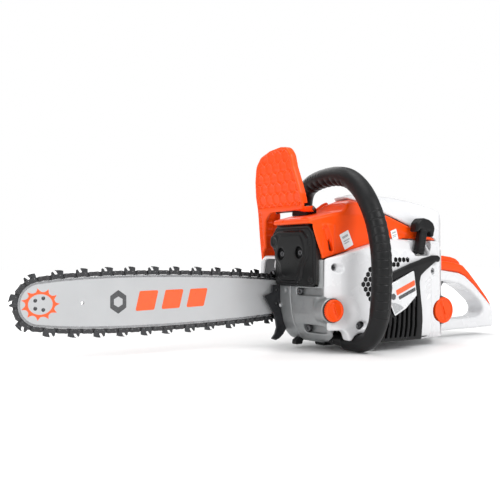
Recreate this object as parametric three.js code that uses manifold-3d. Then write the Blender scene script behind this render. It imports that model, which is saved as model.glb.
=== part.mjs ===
// A petrol chainsaw: a 45 cc power head with a 15 inch (380 mm) guide bar and a .325 inch chain.
// Millimetres, +Z up. The bar points along -X, the rear handle along +X. The starter is on the -Y side,
// the bar, chain and clutch on the +Y side. All numbers below are in the design frame, whose X = 0 is the
// front of the crankcase, Y = 0 the crankcase joint and Z = 0 the ground. The root group then moves
// the model so that its origin is the middle of the foot of its bounding box.
import * as THREE from "three";
import { mergeVertices } from "three/addons/utils/BufferGeometryUtils.js";
import Module from "manifold-3d";

const wasm = await Module();
wasm.setup();

// ---------------------------------------------------------------- driving dimensions
const GAP = 0.3; // clearance between pieces that touch
const BASE_Z = 10; // underside of the crankcase and tank above the ground
const CRANK = { x: 90, z: 78 }; // crankshaft axis, along Y
const CYL_R = 21; // cylinder bore radius
const BAR = { y0: 33, y1: 37, z: 74, noseX: -355, noseR: 28 }; // guide bar
const BAR_HALF = [[-355, 28], [-334, 30.6], [-300, 32.8], [-260, 34.2], [-220, 34.6], [-180, 34.4], [-140, 33.6], [-100, 32.4], [-60, 30.8], [-20, 28.4], [10, 26], [34, 23.5], [50, 20.5], [58, 15.5], [62, 8]];
const PITCH = 8.255; // chain pitch
const CHAIN_LINKS = 64; // drive links, two pitches each
const SPROCKET_R = 19.03; // pitch radius of the 7 tooth drive sprocket
const RIVET_OFF = 3.3; // rivet line above the bar's rail
const OIL_CAP = { x: 13, z: 59, r: 15.8, y: -79.5 }; // bar oil filler, axis along Y
const FUEL_CAP = { x: 232.5, z: 51.5, r: 20, y: -72 };
const GUARD_PIVOT = { x: 30, z: 202.5 };
const TRIGGER_PIVOT = { x: 292, z: 104 };
const LOCK_PIVOT = { x: 304, z: 118 };
const PULL = new THREE.Vector3(0.218, 0, 0.976).normalize(); // direction in which the starter cord pulls out
const PULL_AT = new THREE.Vector3(177, -80, 136); // where the cord leaves the starter housing
const GRIP_R = 14; // front handle over its rubber grip
const TUBE_R = 10.5;

// ---------------------------------------------------------------- materials
const mat = (color, roughness, metalness) => new THREE.MeshStandardMaterial({ color, roughness, metalness });
const M = {
  orange: mat(0xf2520c, 0.4, 0),
  white: mat(0xe9e9ea, 0.35, 0),
  black: mat(0x1d1e1f, 0.55, 0),
  rubber: mat(0x2b2c2d, 0.75, 0),
  casting: mat(0x8d8f90, 0.55, 0.6),
  steel: mat(0xb4b6b8, 0.35, 0.9),
  dark_steel: mat(0x3b3c3e, 0.45, 0.8),
  aluminium: mat(0xb9bbbd, 0.45, 0.8),
  bar: mat(0xc9cacc, 0.4, 0.7),
  badge: mat(0xdadbdc, 0.3, 0.4),
};

// ---------------------------------------------------------------- solids
function toSolid(geometry) {
  const g = geometry.index ? geometry.toNonIndexed() : geometry.clone();
  for (const name of Object.keys(g.attributes)) if (name !== "position") g.deleteAttribute(name);
  const m = mergeVertices(g, 1e-4);
  return new wasm.Manifold(new wasm.Mesh({ numProp: 3, vertProperties: m.attributes.position.array, triVerts: new Uint32Array(m.index.array) }));
}
function toGeometry(solid) {
  const mesh = solid.getMesh();
  const v = new Float32Array(mesh.numVert * 3);
  for (let i = 0; i < mesh.numVert; i++) v.set(mesh.vertProperties.subarray(i * mesh.numProp, i * mesh.numProp + 3), i * 3);
  const g = new THREE.BufferGeometry();
  g.setAttribute("position", new THREE.BufferAttribute(v, 3));
  g.setIndex(new THREE.BufferAttribute(new Uint32Array(mesh.triVerts), 1));
  g.computeVertexNormals();
  return g;
}
const V3 = (x, y, z) => new THREE.Vector3(x, y, z);
const FRAMES = {
  x: new THREE.Matrix4().makeBasis(V3(0, 1, 0), V3(0, 0, 1), V3(1, 0, 0)),
  y: new THREE.Matrix4().makeBasis(V3(1, 0, 0), V3(0, 0, 1), V3(0, -1, 0)),
  z: new THREE.Matrix4(),
};
// A profile pushed along an axis from a to b. The profile is (Y,Z) along x, (X,Z) along y and (X,Y) along z.
function prism(axis, points, a, b) {
  const shape = new THREE.Shape(points.map(([u, v]) => new THREE.Vector2(u, v)));
  const g = new THREE.ExtrudeGeometry(shape, { depth: b - a, bevelEnabled: false });
  g.applyMatrix4(FRAMES[axis]);
  if (axis === "x") g.translate(a, 0, 0);
  if (axis === "y") g.translate(0, b, 0);
  if (axis === "z") g.translate(0, 0, a);
  return toSolid(g);
}
// Rounds the corners of a profile: r is one radius, or one for each corner.
function rounded(points, r, steps = 3) {
  const out = [];
  const n = points.length;
  points.forEach((p, i) => {
    const radius = Array.isArray(r) ? r[i] : r;
    const a = new THREE.Vector2(...points[(i + n - 1) % n]), b = new THREE.Vector2(...p), c = new THREE.Vector2(...points[(i + 1) % n]);
    const u = a.clone().sub(b), w = c.clone().sub(b);
    const lu = u.length(), lw = w.length();
    u.normalize(); w.normalize();
    const half = Math.acos(THREE.MathUtils.clamp(u.dot(w), -1, 1)) / 2;
    const cut = Math.min(radius / Math.tan(half), lu * 0.48, lw * 0.48);
    if (!radius || cut < 0.05 || half > 1.5) return out.push([b.x, b.y]);
    const s = b.clone().addScaledVector(u, cut), e = b.clone().addScaledVector(w, cut);
    for (let k = 0; k <= steps; k++) {
      const t = k / steps;
      const q = s.clone().multiplyScalar((1 - t) ** 2).addScaledVector(b, 2 * t * (1 - t)).addScaledVector(e, t * t);
      out.push([q.x, q.y]);
    }
  });
  return out;
}
const rect = (u0, v0, u1, v1) => [[u0, v0], [u1, v0], [u1, v1], [u0, v1]];
const box = (x0, y0, z0, x1, y1, z1) => prism("z", rect(x0, y0, x1, y1), z0, z1);
function circle(r, n, u = 0, v = 0, turn = 0) {
  return Array.from({ length: n }, (_, i) => [u + r * Math.cos(turn + (2 * Math.PI * i) / n), v + r * Math.sin(turn + (2 * Math.PI * i) / n)]);
}
// A cylinder along an axis, its centre given in the profile's two directions.
const rod = (axis, r, a, b, u, v, n = 20) => prism(axis, circle(r, n, u, v), a, b);
// A wheel with teeth.
function gear(teeth, tip, root, width = 0.5) {
  const pts = [];
  for (let i = 0; i < teeth; i++) {
    const a = (2 * Math.PI * i) / teeth, w = (2 * Math.PI) / teeth;
    pts.push([root * Math.cos(a), root * Math.sin(a)], [root * Math.cos(a + w * (1 - width) * 0.5), root * Math.sin(a + w * (1 - width) * 0.5)]);
    pts.push([tip * Math.cos(a + w * (0.5 - width * 0.1)), tip * Math.sin(a + w * (0.5 - width * 0.1))], [tip * Math.cos(a + w * (0.5 + width * 0.1)), tip * Math.sin(a + w * (0.5 + width * 0.1))]);
  }
  return pts;
}
// A rounded bar swept along a line of points.
function sweep(points, section, steps) {
  const curve = new THREE.CatmullRomCurve3(points.map((p) => V3(...p)), false, "catmullrom", 0.5);
  return toSolid(new THREE.ExtrudeGeometry(new THREE.Shape(section.map(([u, v]) => new THREE.Vector2(u, v))), { steps, bevelEnabled: false, extrudePath: curve }));
}
const all = (first, ...rest) => rest.reduce((a, b) => a.add(b), first);
const cut = (first, ...rest) => rest.reduce((a, b) => a.subtract(b), first);
const both = (first, ...rest) => rest.reduce((a, b) => a.intersect(b), first);
// A hexagon-headed screw along an axis: head from a to b, shank from b to c.
function screw(axis, u, v, a, b, c, head = 5, shank = 2.6) {
  return all(rod(axis, head, Math.min(a, b), Math.max(a, b), u, v, 6), rod(axis, shank, Math.min(b, c) - 0.01, Math.max(b, c), u, v, 10));
}

const saw = new THREE.Group();
saw.name = "chainsaw";
function piece(name, solid, material, parent = saw) {
  const mesh = new THREE.Mesh(toGeometry(solid), material);
  mesh.name = name;
  parent.add(mesh);
  return mesh;
}
function group(x, y, z, parent = saw) {
  const g = new THREE.Group();
  g.position.set(x, y, z);
  parent.add(g);
  return g;
}

// ---------------------------------------------------------------- line of the front handle
const HANDLE = [[73, 64, 149.6], [73, 64.5, 168], [73, 65, 190], [72.5, 64, 213], [71.5, 57, 232], [70, 40, 243.5], [67, 10, 249.5], [64, -28, 250.5], [61, -62, 243], [58.5, -92, 221.5], [57, -114, 189.5], [56, -126.5, 155], [56, -131, 120], [56, -130, 80], [57, -124, 50], [58, -110, 26], [58, -91, 14.8], [56, -66, 14.1], [54, -42, 16], [52, -20, 19]];
const full = new THREE.CatmullRomCurve3(HANDLE.map((p) => V3(...p)), false, "catmullrom", 0.5);
const part = (a, b, n) => Array.from({ length: n }, (_, i) => full.getPointAt(a + ((b - a) * i) / (n - 1)).toArray());
// the lower end of the tube lies in a channel in the underside
const handleChannel = [
  sweep(part(0.76, 0.95, 16), circle(GRIP_R + 1, 12), 16),
  sweep(part(0.85, 1, 12), circle(TUBE_R + 1.4, 12), 12),
  box(45.4, -100, -5, 68.6, -31, 16),
  box(43.2, -31, -5, 65.2, -18.5, 17),
];

// ---------------------------------------------------------------- crankcase
const FRONT = [[0, 89], [0.5, 70], [3, 52], [7, 37], [13, 24], [21, 15], [32, BASE_Z]];
const tankSide = [...FRONT.slice().reverse(), [50, 89], [50, BASE_Z]]; // bar oil tank, seen from the side
const tankBlock = (y0, y1) => prism("y", tankSide, y0, y1);
const chamberWall = rounded([[50 - 0.01, BASE_Z], [196, BASE_Z], [196, 40], [150, 46], [140, 112], [50 - 0.01, 112]], [0, 2, 2, 8, 4, 2]);
let starterHalf = all(
  tankBlock(-69, -0.15),
  prism("y", chamberWall, -34, -0.15),
  prism("y", rect(0, 88, 7, 129), -69, -64), // post beside the silencer
  prism("y", rect(0, 88.9, 50.1, 91.5), -69, -0.15),
);
starterHalf = cut(
  starterHalf,
  rod("y", 35, -17, 1, CRANK.x, CRANK.z, 28), // crank chamber
  rod("y", 8.4, -40, 1, CRANK.x, CRANK.z, 16),
  prism("y", rounded([[9, 76], [10, 55], [17, 32], [34, 17], [44, 17], [44, 82], [9, 82]], 3, 1), -62, -6), // oil tank
  rod("y", 11.2, -80, -50, OIL_CAP.x + 1.2, OIL_CAP.z, 20), // filler
  prism("x", rounded(rect(-66.5, 78.5, -15, 86.5), 3, 2), -1, 6), // upper screw channel
  prism("x", rounded(rect(-66.5, 25, -19, 36), 3, 2), -1, 14), // lower screw channel
  prism("y", rect(64, 100, 116, 120), -32, 1),
  rod("y", 44.8, -70, -34.2, CRANK.x, CRANK.z, 36), // flywheel well
  ...handleChannel,
);
piece("crankcase_starter_half", starterHalf, M.casting);

let clutchHalf = all(
  tankBlock(0.15, 31),
  prism("y", chamberWall, 0.15, 31),
  prism("y", rect(0, 88.9, 50.1, 91.5), 0.15, 31),
  prism("y", rect(60, 107, 90, 149), 29, 37), // upstand that carries the right end of the front handle
  rod("y", 3.9, 30, 46, 22, BAR.z, 12), // bar studs
  rod("y", 3.9, 30, 46, 46, BAR.z, 12),
);
clutchHalf = cut(
  clutchHalf,
  rod("y", 35, -1, 17, CRANK.x, CRANK.z, 28),
  rod("y", 8.4, -1, 40, CRANK.x, CRANK.z, 16),
  prism("y", rounded([[9, 76], [10, 55], [17, 32], [34, 17], [44, 17], [44, 82], [9, 82]], 3, 1), -1, 25),
  prism("y", rect(64, 100, 116, 120), -1, 32),
  box(110, 22, 50, 134, 32, 74), // oil pump seat
);
piece("crankcase_clutch_half", clutchHalf, M.casting);

// bar oil pump, under the clutch
piece("oil_pump", cut(all(box(110.3, 22.3, 50.3, 133.7, 30.6, 73.7), rod("y", 3, 21.9, 24, 122, 62, 10)), rod("y", 2, 28, 32, 116, 56, 8)).subtract(box(100, 10, 40, 140, 22.29, 80)), M.aluminium);

// ---------------------------------------------------------------- cylinder and its internals
const fins = [];
for (let i = 0; i < 6; i++) fins.push(box(CRANK.x - 30, -28.6, 119 + i * 9, CRANK.x + 30, 28.6, 121.4 + i * 9));
let cylinder = all(rod("z", 26, 113, 169, CRANK.x, 0, 24), box(CRANK.x - 25, -28.6, 112.6, CRANK.x + 25, 28.6, 116), rod("z", 9, 167, 174, CRANK.x, 0, 14), ...fins);
cylinder = cut(cylinder, rod("z", CYL_R, 110, 162, CRANK.x, 0, 24), rod("z", 5.4, 160, 180, CRANK.x, 0, 14), rod("x", 8, CRANK.x - 40, CRANK.x - 2, 0, 140.3, 14), rod("x", 8, CRANK.x + 2, CRANK.x + 40, 0, 136.4, 14));
piece("cylinder", cylinder, M.aluminium);
piece("piston", cut(rod("z", CYL_R - 0.4, 124, 158, CRANK.x, 0, 24), rod("z", CYL_R - 4, 120, 152, CRANK.x, 0, 20)).add(rod("y", 4.5, -18, 18, CRANK.x, 134, 10)), M.aluminium);
piece(
  "connecting_rod",
  cut(
    all(rod("y", 8.5, -4.3, 4.3, CRANK.x, 134, 14), prism("y", [[CRANK.x - 4, 101], [CRANK.x + 4, 101], [CRANK.x + 3.5, 128], [CRANK.x - 3.5, 128]], -3, 3), rod("y", 9.5, -4.3, 4.3, CRANK.x, 94, 14)),
    rod("y", 4.9, -9, 9, CRANK.x, 134, 10),
    rod("y", 5.3, -9, 9, CRANK.x, 94, 10),
  ),
  M.steel,
);

// crankshaft, in two pressed halves, and what turns with it
const crank = group(CRANK.x, 0, CRANK.z);
piece("crankshaft_flywheel_side", all(rod("y", 31, -15, -5, 0, 0, 24), rod("y", 7.9, -66, -14.9, 0, 0, 16)), M.steel, crank);
piece("crankshaft_clutch_side", all(rod("y", 31, 5, 15, 0, 0, 24), rod("y", 7.9, 14.9, 62, 0, 0, 16)), M.steel, crank);
const blades = [];
for (let i = 0; i < 12; i++) {
  const a = (2 * Math.PI * i) / 12, c = Math.cos(a), s = Math.sin(a), turn = ([u, v]) => [c * u - s * v, s * u + c * v];
  blades.push(prism("y", [turn([22, -1.2]), turn([43, 3.5]), turn([43, 6]), turn([22, 1.4])], -58, -46));
}
piece("flywheel", cut(all(rod("y", 43.5, -46.1, -38, 0, 0, 30), rod("y", 15, -60, -46, 0, 0, 18), ...blades), rod("y", 8.3, -80, -30, 0, 0, 16)), M.aluminium, crank);
piece("clutch_shoes", cut(all(rod("y", 11, 43, 56, 0, 0, 14), prism("y", rect(-6, -28, 6, 28), 44, 55), prism("y", rounded([[-20, 14], [20, 14], [14, 27], [-14, 27]], 3, 2), 44, 55), prism("y", rounded([[-20, -14], [-14, -27], [14, -27], [20, -14]], 3, 2), 44, 55)), rod("y", 8.3, 30, 70, 0, 0, 16)), M.dark_steel, crank);
const drum = group(CRANK.x, 0, CRANK.z);
piece("clutch_drum", cut(all(rod("y", 34, 39.6, 58, 0, 0, 32), prism("y", gear(7, 15.2, 11.2, 0.6), 31.6, 39.8)), rod("y", 31.5, 41.6, 60, 0, 0, 32), rod("y", 8.6, 30, 60, 0, 0, 16)), M.dark_steel, drum);

// ignition
piece("ignition_coil", prism("y", rounded(rect(134.5, 96, 150, 128), 2, 1), -60, -40), M.black);
piece("spark_plug", all(rod("z", 5.1, 162.5, 175, CRANK.x, 0, 12), rod("z", 8, 174.4, 179, CRANK.x, 0, 6), rod("z", 4, 178.9, 188, CRANK.x, 0, 10)), M.steel);
piece("spark_plug_boot", cut(all(rod("z", 7.5, 179.4, 193, CRANK.x, 0, 14), rod("x", 4.5, CRANK.x, CRANK.x + 20, 0, 186.5, 10)), rod("z", 4.4, 176, 188.4, CRANK.x, 0, 10)), M.rubber);

// ---------------------------------------------------------------- silencer
const SIL = rounded([[26, 93.5], [26, 172], [-54, 172], [-62, 164], [-62, 93.5]], [3, 3, 4, 4, 3], 2);
let silencer = all(prism("x", SIL, -1.5, 33), rod("x", 10, 32.9, CRANK.x - 31.4, 0, 140, 14), prism("x", rounded(rect(-20, 128, 20, 152), 3, 1), CRANK.x - 34, CRANK.x - 31.3));
silencer = cut(silencer, rod("x", 6.5, 20, CRANK.x, 0, 140, 12));
piece("silencer", silencer, M.dark_steel);
const GUARD_FACE = rounded([[28, 91.8], [28, 128], [29.5, 138], [36, 146], [38, 156], [35, 166], [25, 177], [-52, 177], [-62, 168], [-66, 155], [-66, 97], [-61, 91.8]], [3, 6, 6, 6, 6, 6, 5, 6, 6, 5, 4, 4], 2);
const inset = [[26.5, 93], [26.5, 172.5], [-54.2, 172.5], [-62.5, 164.4], [-62.5, 93]];
let silencerCover = cut(prism("x", GUARD_FACE, -9, 9), prism("x", inset, -3, 20), box(-2, -70, 60, 30, -64, 130.5), box(-3.2, -90, 80, 40, 90, 93.2), box(-2.5, 26, 80, 40, 60, 184), rod("x", 3.2, -20, 0, 13, 137, 12), rod("x", 3.2, -20, 0, -30, 138, 12));
silencerCover = cut(silencerCover, rod("x", 6.4, -12, -6.8, 13, 137, 16), rod("x", 6.4, -12, -6.8, -30, 138, 16));
piece("silencer_cover", silencerCover, M.black);
piece("silencer_screw_right", screw("x", 13, 137, -9.6, -7.1, -1.9, 4.6, 2.7), M.steel);
piece("silencer_screw_left", screw("x", -30, 138, -9.6, -7.1, -1.9, 4.6, 2.7), M.steel);
piece("crankcase_screw_upper", all(rod("x", 3.6, 1.2, 5.6, -20.5, 82.5, 12)), M.dark_steel);
piece("crankcase_screw_lower", all(rod("x", 4.8, 9.2, 13.6, -25, 30.5, 12)), M.dark_steel);

// ---------------------------------------------------------------- starter side
const HOUSING_SIDE = rounded(
  [[5, 129.5], [4.5, 88], [5.5, 44], [9, 29], [26, 28], [34, 19], [44, 14], [64, 12.5], [110, BASE_Z], [196.5, BASE_Z], [196.5, 157], [130, 160], [94, 152]],
  [2, 4, 8, 4, 5, 3, 3, 2, 2, 2, 2, 4, 4],
);
const HOUSING_PLAN = [[4, -69.3], [5, -72], [12, -77.5], [26, -82.5], [50, -86.5], [80, -90], [110, -91], [150, -90.5], [180, -88.5], [196.5, -85.5], [196.5, -34.3], [50.4, -34.3], [50.4, -69.3]];
const HOUSING_FRONT = [[-34, 5], [-60, 5], [-80, 10], [-91, 22], [-95, 60], [-95, 112], [-91, 132], [-84, 144], [-72, 158], [-64, 163], [-34, 163]];
let housing = both(prism("y", HOUSING_SIDE, -96, -34.3), prism("z", HOUSING_PLAN, 0, 170), prism("x", HOUSING_FRONT, -5, 200));
housing = cut(
  housing,
  cut(both(prism("y", rounded([[54, 17], [54, 120], [60, 138], [96, 147], [130, 155], [191, 152], [191, 14], [100, 14]], 4, 1), -87, -30), prism("x", [[-30, 12], [-30, 155], [-64, 155], [-80, 138], [-86.5, 120], [-86.5, 12]], 0, 200)), box(158, -100, 130.5, 196, -67.5, 170)),
  rod("y", 44.8, -64, -34, CRANK.x, CRANK.z, 36),
  ...handleChannel,
  rod("y", 5.2, -95, -73.5, 15, 119, 14),
  rod("y", 5.2, -95, -82.5, 55.5, 36.5, 14),
  rod("y", 4.4, -95, -82.8, 191, 111, 14),
  rod("y", OIL_CAP.r + 1.2, -100, OIL_CAP.y + 2.2, OIL_CAP.x, OIL_CAP.z, 28),
  rod("y", 14, -100, -60, OIL_CAP.x, OIL_CAP.z, 20),
  prism("y", [[74, 60], [88, 100], [118, 116], [150, 122], [152, 60], [150, 24], [90, 24], [78, 40]], -100, -80), // air intake behind the grille
  box(162, -100, 134, 191.5, -71, 170), // pocket for the starter grip
  rod("z", 3.4, 120, 140, PULL_AT.x - 0.6, PULL_AT.y, 12), // cord hole
);
piece("starter_housing", housing, M.white);
let grille = prism("y", rounded([[96, 102], [104, 107.5], [147, 122], [172, 128.5], [192, 133], [202, 132.5], [205, 126.5], [194, 121.5], [172, 114.5], [161, 108], [158.5, 98], [162, 74], [165, 56], [165.5, 40], [162.5, 12.5], [88, 12.5], [84, 40], [87, 80]], [4, 3, 3, 3, 3, 3, 3, 3, 3, 4, 3, 2, 2, 2, 3, 3, 3, 5], 2), -97, -91.6);
for (let i = 0; i < 6; i++) {
  const x = 100 + i * 9.4, top = 46 + i * 6.2;
  grille = cut(grille, prism("y", [[x - 3, 18], [x + 1.2, 18], [x + 4.6, 40], [x + 5.4, top - 4], [x + 3, top], [x + 1.2, top - 4], [x + 0.4, 40]], -105, -80));
}
grille = cut(grille, prism("y", [[105, 94], [108.5, 96], [148, 111.5], [150, 76], [132, 63], [115, 54]], -95, -80));
piece("starter_grille", grille, M.black);
piece("badge_plate", prism("y", rounded([[100, 92.5], [149.5, 113], [155, 77], [133, 58.5], [112, 48.5], [101, 70]], 1.5, 1), -98.3, -97.3), M.badge);
// spacer pads tie the grille to the housing
piece("starter_screw_front", rod("y", 4.8, -77.6, -73.8, 15, 119, 12), M.dark_steel);
piece("starter_screw_lower", rod("y", 4.8, -86.4, -82.8, 55.5, 36.5, 12), M.dark_steel);

// starter pulley, cord and grip
const pulley = group(CRANK.x, 0, CRANK.z);
piece("starter_pulley", cut(all(rod("y", 30, -79, -77, 0, 0, 26), rod("y", 24, -77.1, -71, 0, 0, 24), rod("y", 30, -71.1, -69, 0, 0, 26)), rod("y", 5, -90, -60, 0, 0, 14)), M.black, pulley);
piece("starter_pulley_pin", rod("y", 4.6, -86.2, -67.2, CRANK.x, CRANK.z, 14), M.steel);
const gripFrame = new THREE.Group();
gripFrame.position.copy(PULL_AT);
gripFrame.rotation.y = Math.atan2(PULL.x, PULL.z);
saw.add(gripFrame);
// in this group Z is the pulling direction
piece("starter_rope", rod("z", 1.9, -17, 13.7, 0, 0, 8), M.white, gripFrame);
piece(
  "starter_handle",
  cut(
    all(
      prism("y", rounded([[-6.6, 0.6], [6.6, 0.6], [7.2, 34], [-7.2, 34]], 2, 2), -6, 6),
      prism("y", rounded([[-18.5, 30], [-14, 31], [-9, 36], [-7, 33], [7, 33], [9, 36], [14, 31], [18.5, 30], [19.5, 44], [14, 52], [5, 55], [-5, 55], [-14, 52], [-19.5, 44]], 3, 2), -8, 8),
    ),
    rod("z", 2.3, 0, 14, 0, 0, 8),
  ),
  M.black,
  gripFrame,
);

// ---------------------------------------------------------------- top covers
const topSide = rounded([[-17, 181], [-15, 185.5], [45, 197.5], [60, 210], [72, 216], [123, 195], [225, 159.5], [225, 157.6], [197, 157.6], [130, 160.6], [94, 152.6], [5, 130.3], [-3, 148]], [2, 3, 10, 8, 6, 8, 0, 0, 2, 4, 4, 2, 6], 2);
const topFront = rounded([[-70, 120], [-70, 150], [-67, 192], [-60, 210], [-45, 217], [-19, 216.5], [-6, 209.5], [8, 200.5], [30, 197], [40, 184], [44, 150], [44, 120]], [0, 10, 12, 10, 10, 10, 8, 8, 8, 10, 10, 0], 2);
const topPlan = rounded([[-20, -80], [-20, 19], [4, 24], [32, 38], [58, 46], [240, 46], [240, -80]], [0, 4, 6, 10, 10, 0, 0], 2);
let topCover = both(prism("y", topSide, -74, 62), prism("x", topFront, -20, 230), prism("z", topPlan, 100, 240));
const topInner = rounded([[-2.5, 150], [-2.5, 179.5], [44, 192], [60, 205], [70, 211], [121, 191], [221, 156], [221, 100], [-2.5, 100]], 2, 1);
topCover = cut(
  topCover,
  both(prism("y", topInner, -66.6, 54), prism("x", [[-66.6, 90], [-66.6, 150], [-63.5, 190], [-57, 206], [-44, 213], [-20, 212.5], [-8, 206], [6, 197], [27, 193], [36.5, 182], [40.4, 150], [40.4, 90]], -2.5, 222), prism("z", [[-2.6, -70], [-2.6, 30], [60, 42], [230, 42], [230, -70]], 90, 230)),
  box(-30, -66.6, 90, -2.4, 70, 178.4), // open to the front over the silencer
  box(-30, 16, 90, 48, 70, 176), // open on the right beside the silencer
  box(44, 30, 90, 98, 70, 153), // room for the front handle's bracket
);
// the filter cover stands behind the ridge
const filterSide = rounded([[66, 214], [75, 222], [92, 228], [159, 225.5], [195, 219.5], [238, 208], [274, 191], [284, 174], [290, 146], [228.6, 146], [228.6, 157], [124, 197.4], [74, 218.6]], [2, 6, 12, 20, 20, 20, 12, 10, 3, 2, 2, 8, 3], 2);
const filterFront = rounded([[-69, 140], [-68, 160], [-63, 192], [-50, 214], [-32, 226.5], [-12, 224], [10, 212], [30, 200], [44, 186], [48, 160], [48, 140]], [0, 8, 14, 16, 14, 14, 16, 14, 10, 8, 0], 2);
const filterPlan = rounded([[60, -72], [214, -72], [239, -63], [266, -41], [285, -20.5], [291.5, -6], [290, 12], [278, 30], [248, 44], [218, 50], [60, 50]], [0, 10, 10, 10, 8, 8, 8, 10, 10, 10, 0], 2);
let filterCover = both(prism("y", filterSide, -74, 62), prism("x", filterFront, 60, 300), prism("z", filterPlan, 100, 240));
// the top cover is open under the filter cover
const filterInner = both(prism("y", rounded([[92, 140], [92, 223.5], [158, 221.5], [194, 215.5], [237, 204], [271, 188], [280, 173], [285.6, 140]], 3, 1), -66, 54), prism("x", [[-65, 130], [-64, 160], [-59.5, 190], [-47.5, 211], [-31, 222.5], [-13, 220], [8, 208.5], [27, 197], [40, 184], [44, 160], [44, 130]], 60, 300), prism("z", [[60, -68], [213, -68], [237, -59.5], [263, -38.5], [281.5, -18.5], [287.5, -5], [286, 10.5], [275, 27], [246, 40], [217, 46], [60, 46]], 90, 240));
topCover = cut(topCover, both(prism("y", [[100, 140], [100, 230], [221, 230], [221, 140]], -62, 50), prism("x", [[-62, 130], [-62, 230], [38, 230], [38, 130]], 90, 300)));
filterCover = cut(filterCover, filterInner, prism("y", [[60, 100], [60, 212], [72, 217.5], [123, 197], [225, 160.2], [228.9, 157.4], [228.9, 100]], -80, 70));
piece("top_cover", topCover, M.orange);
piece("filter_cover", filterCover, M.white);

// air path behind the cylinder
piece("intake_boot", cut(rod("x", 14, CRANK.x + 31.4, 146, 0, 136, 16), rod("x", 8, 100, 160, 0, 136, 12)), M.rubber);
piece("carburettor", cut(all(prism("x", rounded(rect(-18, 118, 18, 154), 3, 1), 146.3, 182), rod("y", 4, -28, 28, 164, 130, 10)), rod("x", 10, 140, 190, 0, 136, 14)), M.aluminium);
piece("air_filter", cut(prism("x", rounded(rect(-31, 112, 31, 190), 6, 2), 182.3, 205), rod("x", 10, 180, 190, 0, 136, 14)), M.rubber);

// ---------------------------------------------------------------- rear: tank, airbox and handle in one moulding
const rearSide = rounded([[197, BASE_Z], [424, 13], [424, 34], [419, 48], [398, 66], [374, 86], [352, 101], [338, 106], [290.2, 112], [289.2, 145.7], [228.3, 145.7], [228.3, 156.7], [197, 156.7]], [0, 5, 5, 8, 12, 14, 10, 8, 1, 3, 1, 2, 0], 3);
const rearPlan = rounded([[197, -85], [217, -84], [234, -72], [254, -53], [274, -32], [289, -18], [300, -17], [420, -17], [424.5, -14], [424.5, 26], [418, 30], [360, 26], [300, 18], [284, 20], [262, 44], [240, 52], [197, 54]], [0, 6, 6, 8, 8, 4, 3, 3, 3, 4, 6, 8, 8, 8, 8, 6, 0], 2);
const rearFront = [[-86, 170], [-86, 46], [-81, 24], [-64, BASE_Z], [56, BASE_Z], [56, 170]];
let rear = both(prism("y", rearSide, -90, 60), prism("z", rearPlan, 0, 170), prism("x", rearFront, 190, 430));
const loop = rounded([[262, 32], [268, 95], [310, 92], [342, 86.5], [362, 76.5], [375, 62], [374, 45], [362, 34], [340, 31]], [12, 14, 10, 12, 12, 12, 12, 12, 10], 3);
rear = cut(
  rear,
  prism("y", loop, -90, 60), // hand opening
  both(prism("z", rounded([[300, 18.2], [426, 18.2], [426, 60], [300, 60]], 0), 40, 170), prism("y", rect(290, 34, 430, 170), 17, 60)), // the grip is slim, the foot plate is wide
  prism("y", rounded(rect(202, 16, 236, 150), 4, 1), -78, 46), // airbox and tank space, open on top through the filter cover
  box(202, -78, 140, 230, 46, 160),
  rod("y", FUEL_CAP.r - 3.6, -90, -60, FUEL_CAP.x - 12, FUEL_CAP.z, 20),
  prism("y", [[276, 108.5], [326, 105], [326, 84], [276, 84]], -6.3, 6.3), // trigger slot
  prism("y", [[292, 106], [354, 99], [354, 130], [292, 130]], -7.2, 7.2), // lock lever slot
  prism("y", [[290.4, 111.8], [338, 106.5], [353, 101.2], [374, 86.2], [398, 66.2], [419, 48.2], [427, 36], [440, 80], [330, 150], [290.4, 150]], -60, 60), // step for the top strip
  box(196, -32.5, 111, 206, 32.5, 160), // air filter
  rod("y", 3.4, 40, 60, 236, 128, 12), // choke rod
);
// fuel cap boss
rear = cut(rear.add(cut(rod("y", FUEL_CAP.r + 2.4, FUEL_CAP.y + 4.2, -52, FUEL_CAP.x, FUEL_CAP.z, 28), prism("y", loop, -90, 60))), rod("y", FUEL_CAP.r - 3.6, -90, -58, FUEL_CAP.x, FUEL_CAP.z, 20), rod("y", FUEL_CAP.r + 1.2, -90, FUEL_CAP.y + 5.2, FUEL_CAP.x, FUEL_CAP.z, 28));
piece("tank_handle", rear, M.white);
const strip = rounded([[290.7, 112.1], [338.2, 106.9], [353.2, 101.5], [374.2, 86.6], [398.2, 66.6], [418.5, 50], [424, 40], [424.6, 42], [419.5, 53], [408.5, 66], [386, 88], [365, 107.5], [350, 119], [341, 121], [330, 124], [310, 126], [290.7, 127]], [0, 4, 6, 6, 6, 4, 1, 1, 4, 6, 8, 8, 6, 4, 4, 4, 1], 2);
let stripSolid = cut(prism("y", strip, -14.2, 14.2), prism("y", [[296, 90], [354.6, 90], [354.6, 130], [296, 134]], -7.6, 7.6));
piece("rear_handle_strip", stripSolid, M.orange);
// throttle trigger and its lock, on hinges in the rear handle
const trigger = group(TRIGGER_PIVOT.x, 0, TRIGGER_PIVOT.z);
piece("throttle_trigger", prism("y", rounded([[-9, -2], [-6, -9], [2, -22], [4, -36], [10, -37], [14, -22], [22, -10], [22, -5.5], [0, -4], [-2, -1]], [2, 3, 4, 3, 3, 6, 2, 2, 1, 1], 2), -5.7, 5.7), M.black, trigger);
const lock = group(LOCK_PIVOT.x, 0, LOCK_PIVOT.z);
piece("throttle_lock", prism("y", rounded([[-6, -4], [46, -9.5], [50, -8], [48.5, 0], [44, 7], [36, 12], [24, 15], [6, 17], [-4, 17], [-7, 13]], [2, 1, 2, 3, 5, 5, 6, 5, 4, 3], 2), -6.9, 6.9), M.orange, lock);

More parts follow.
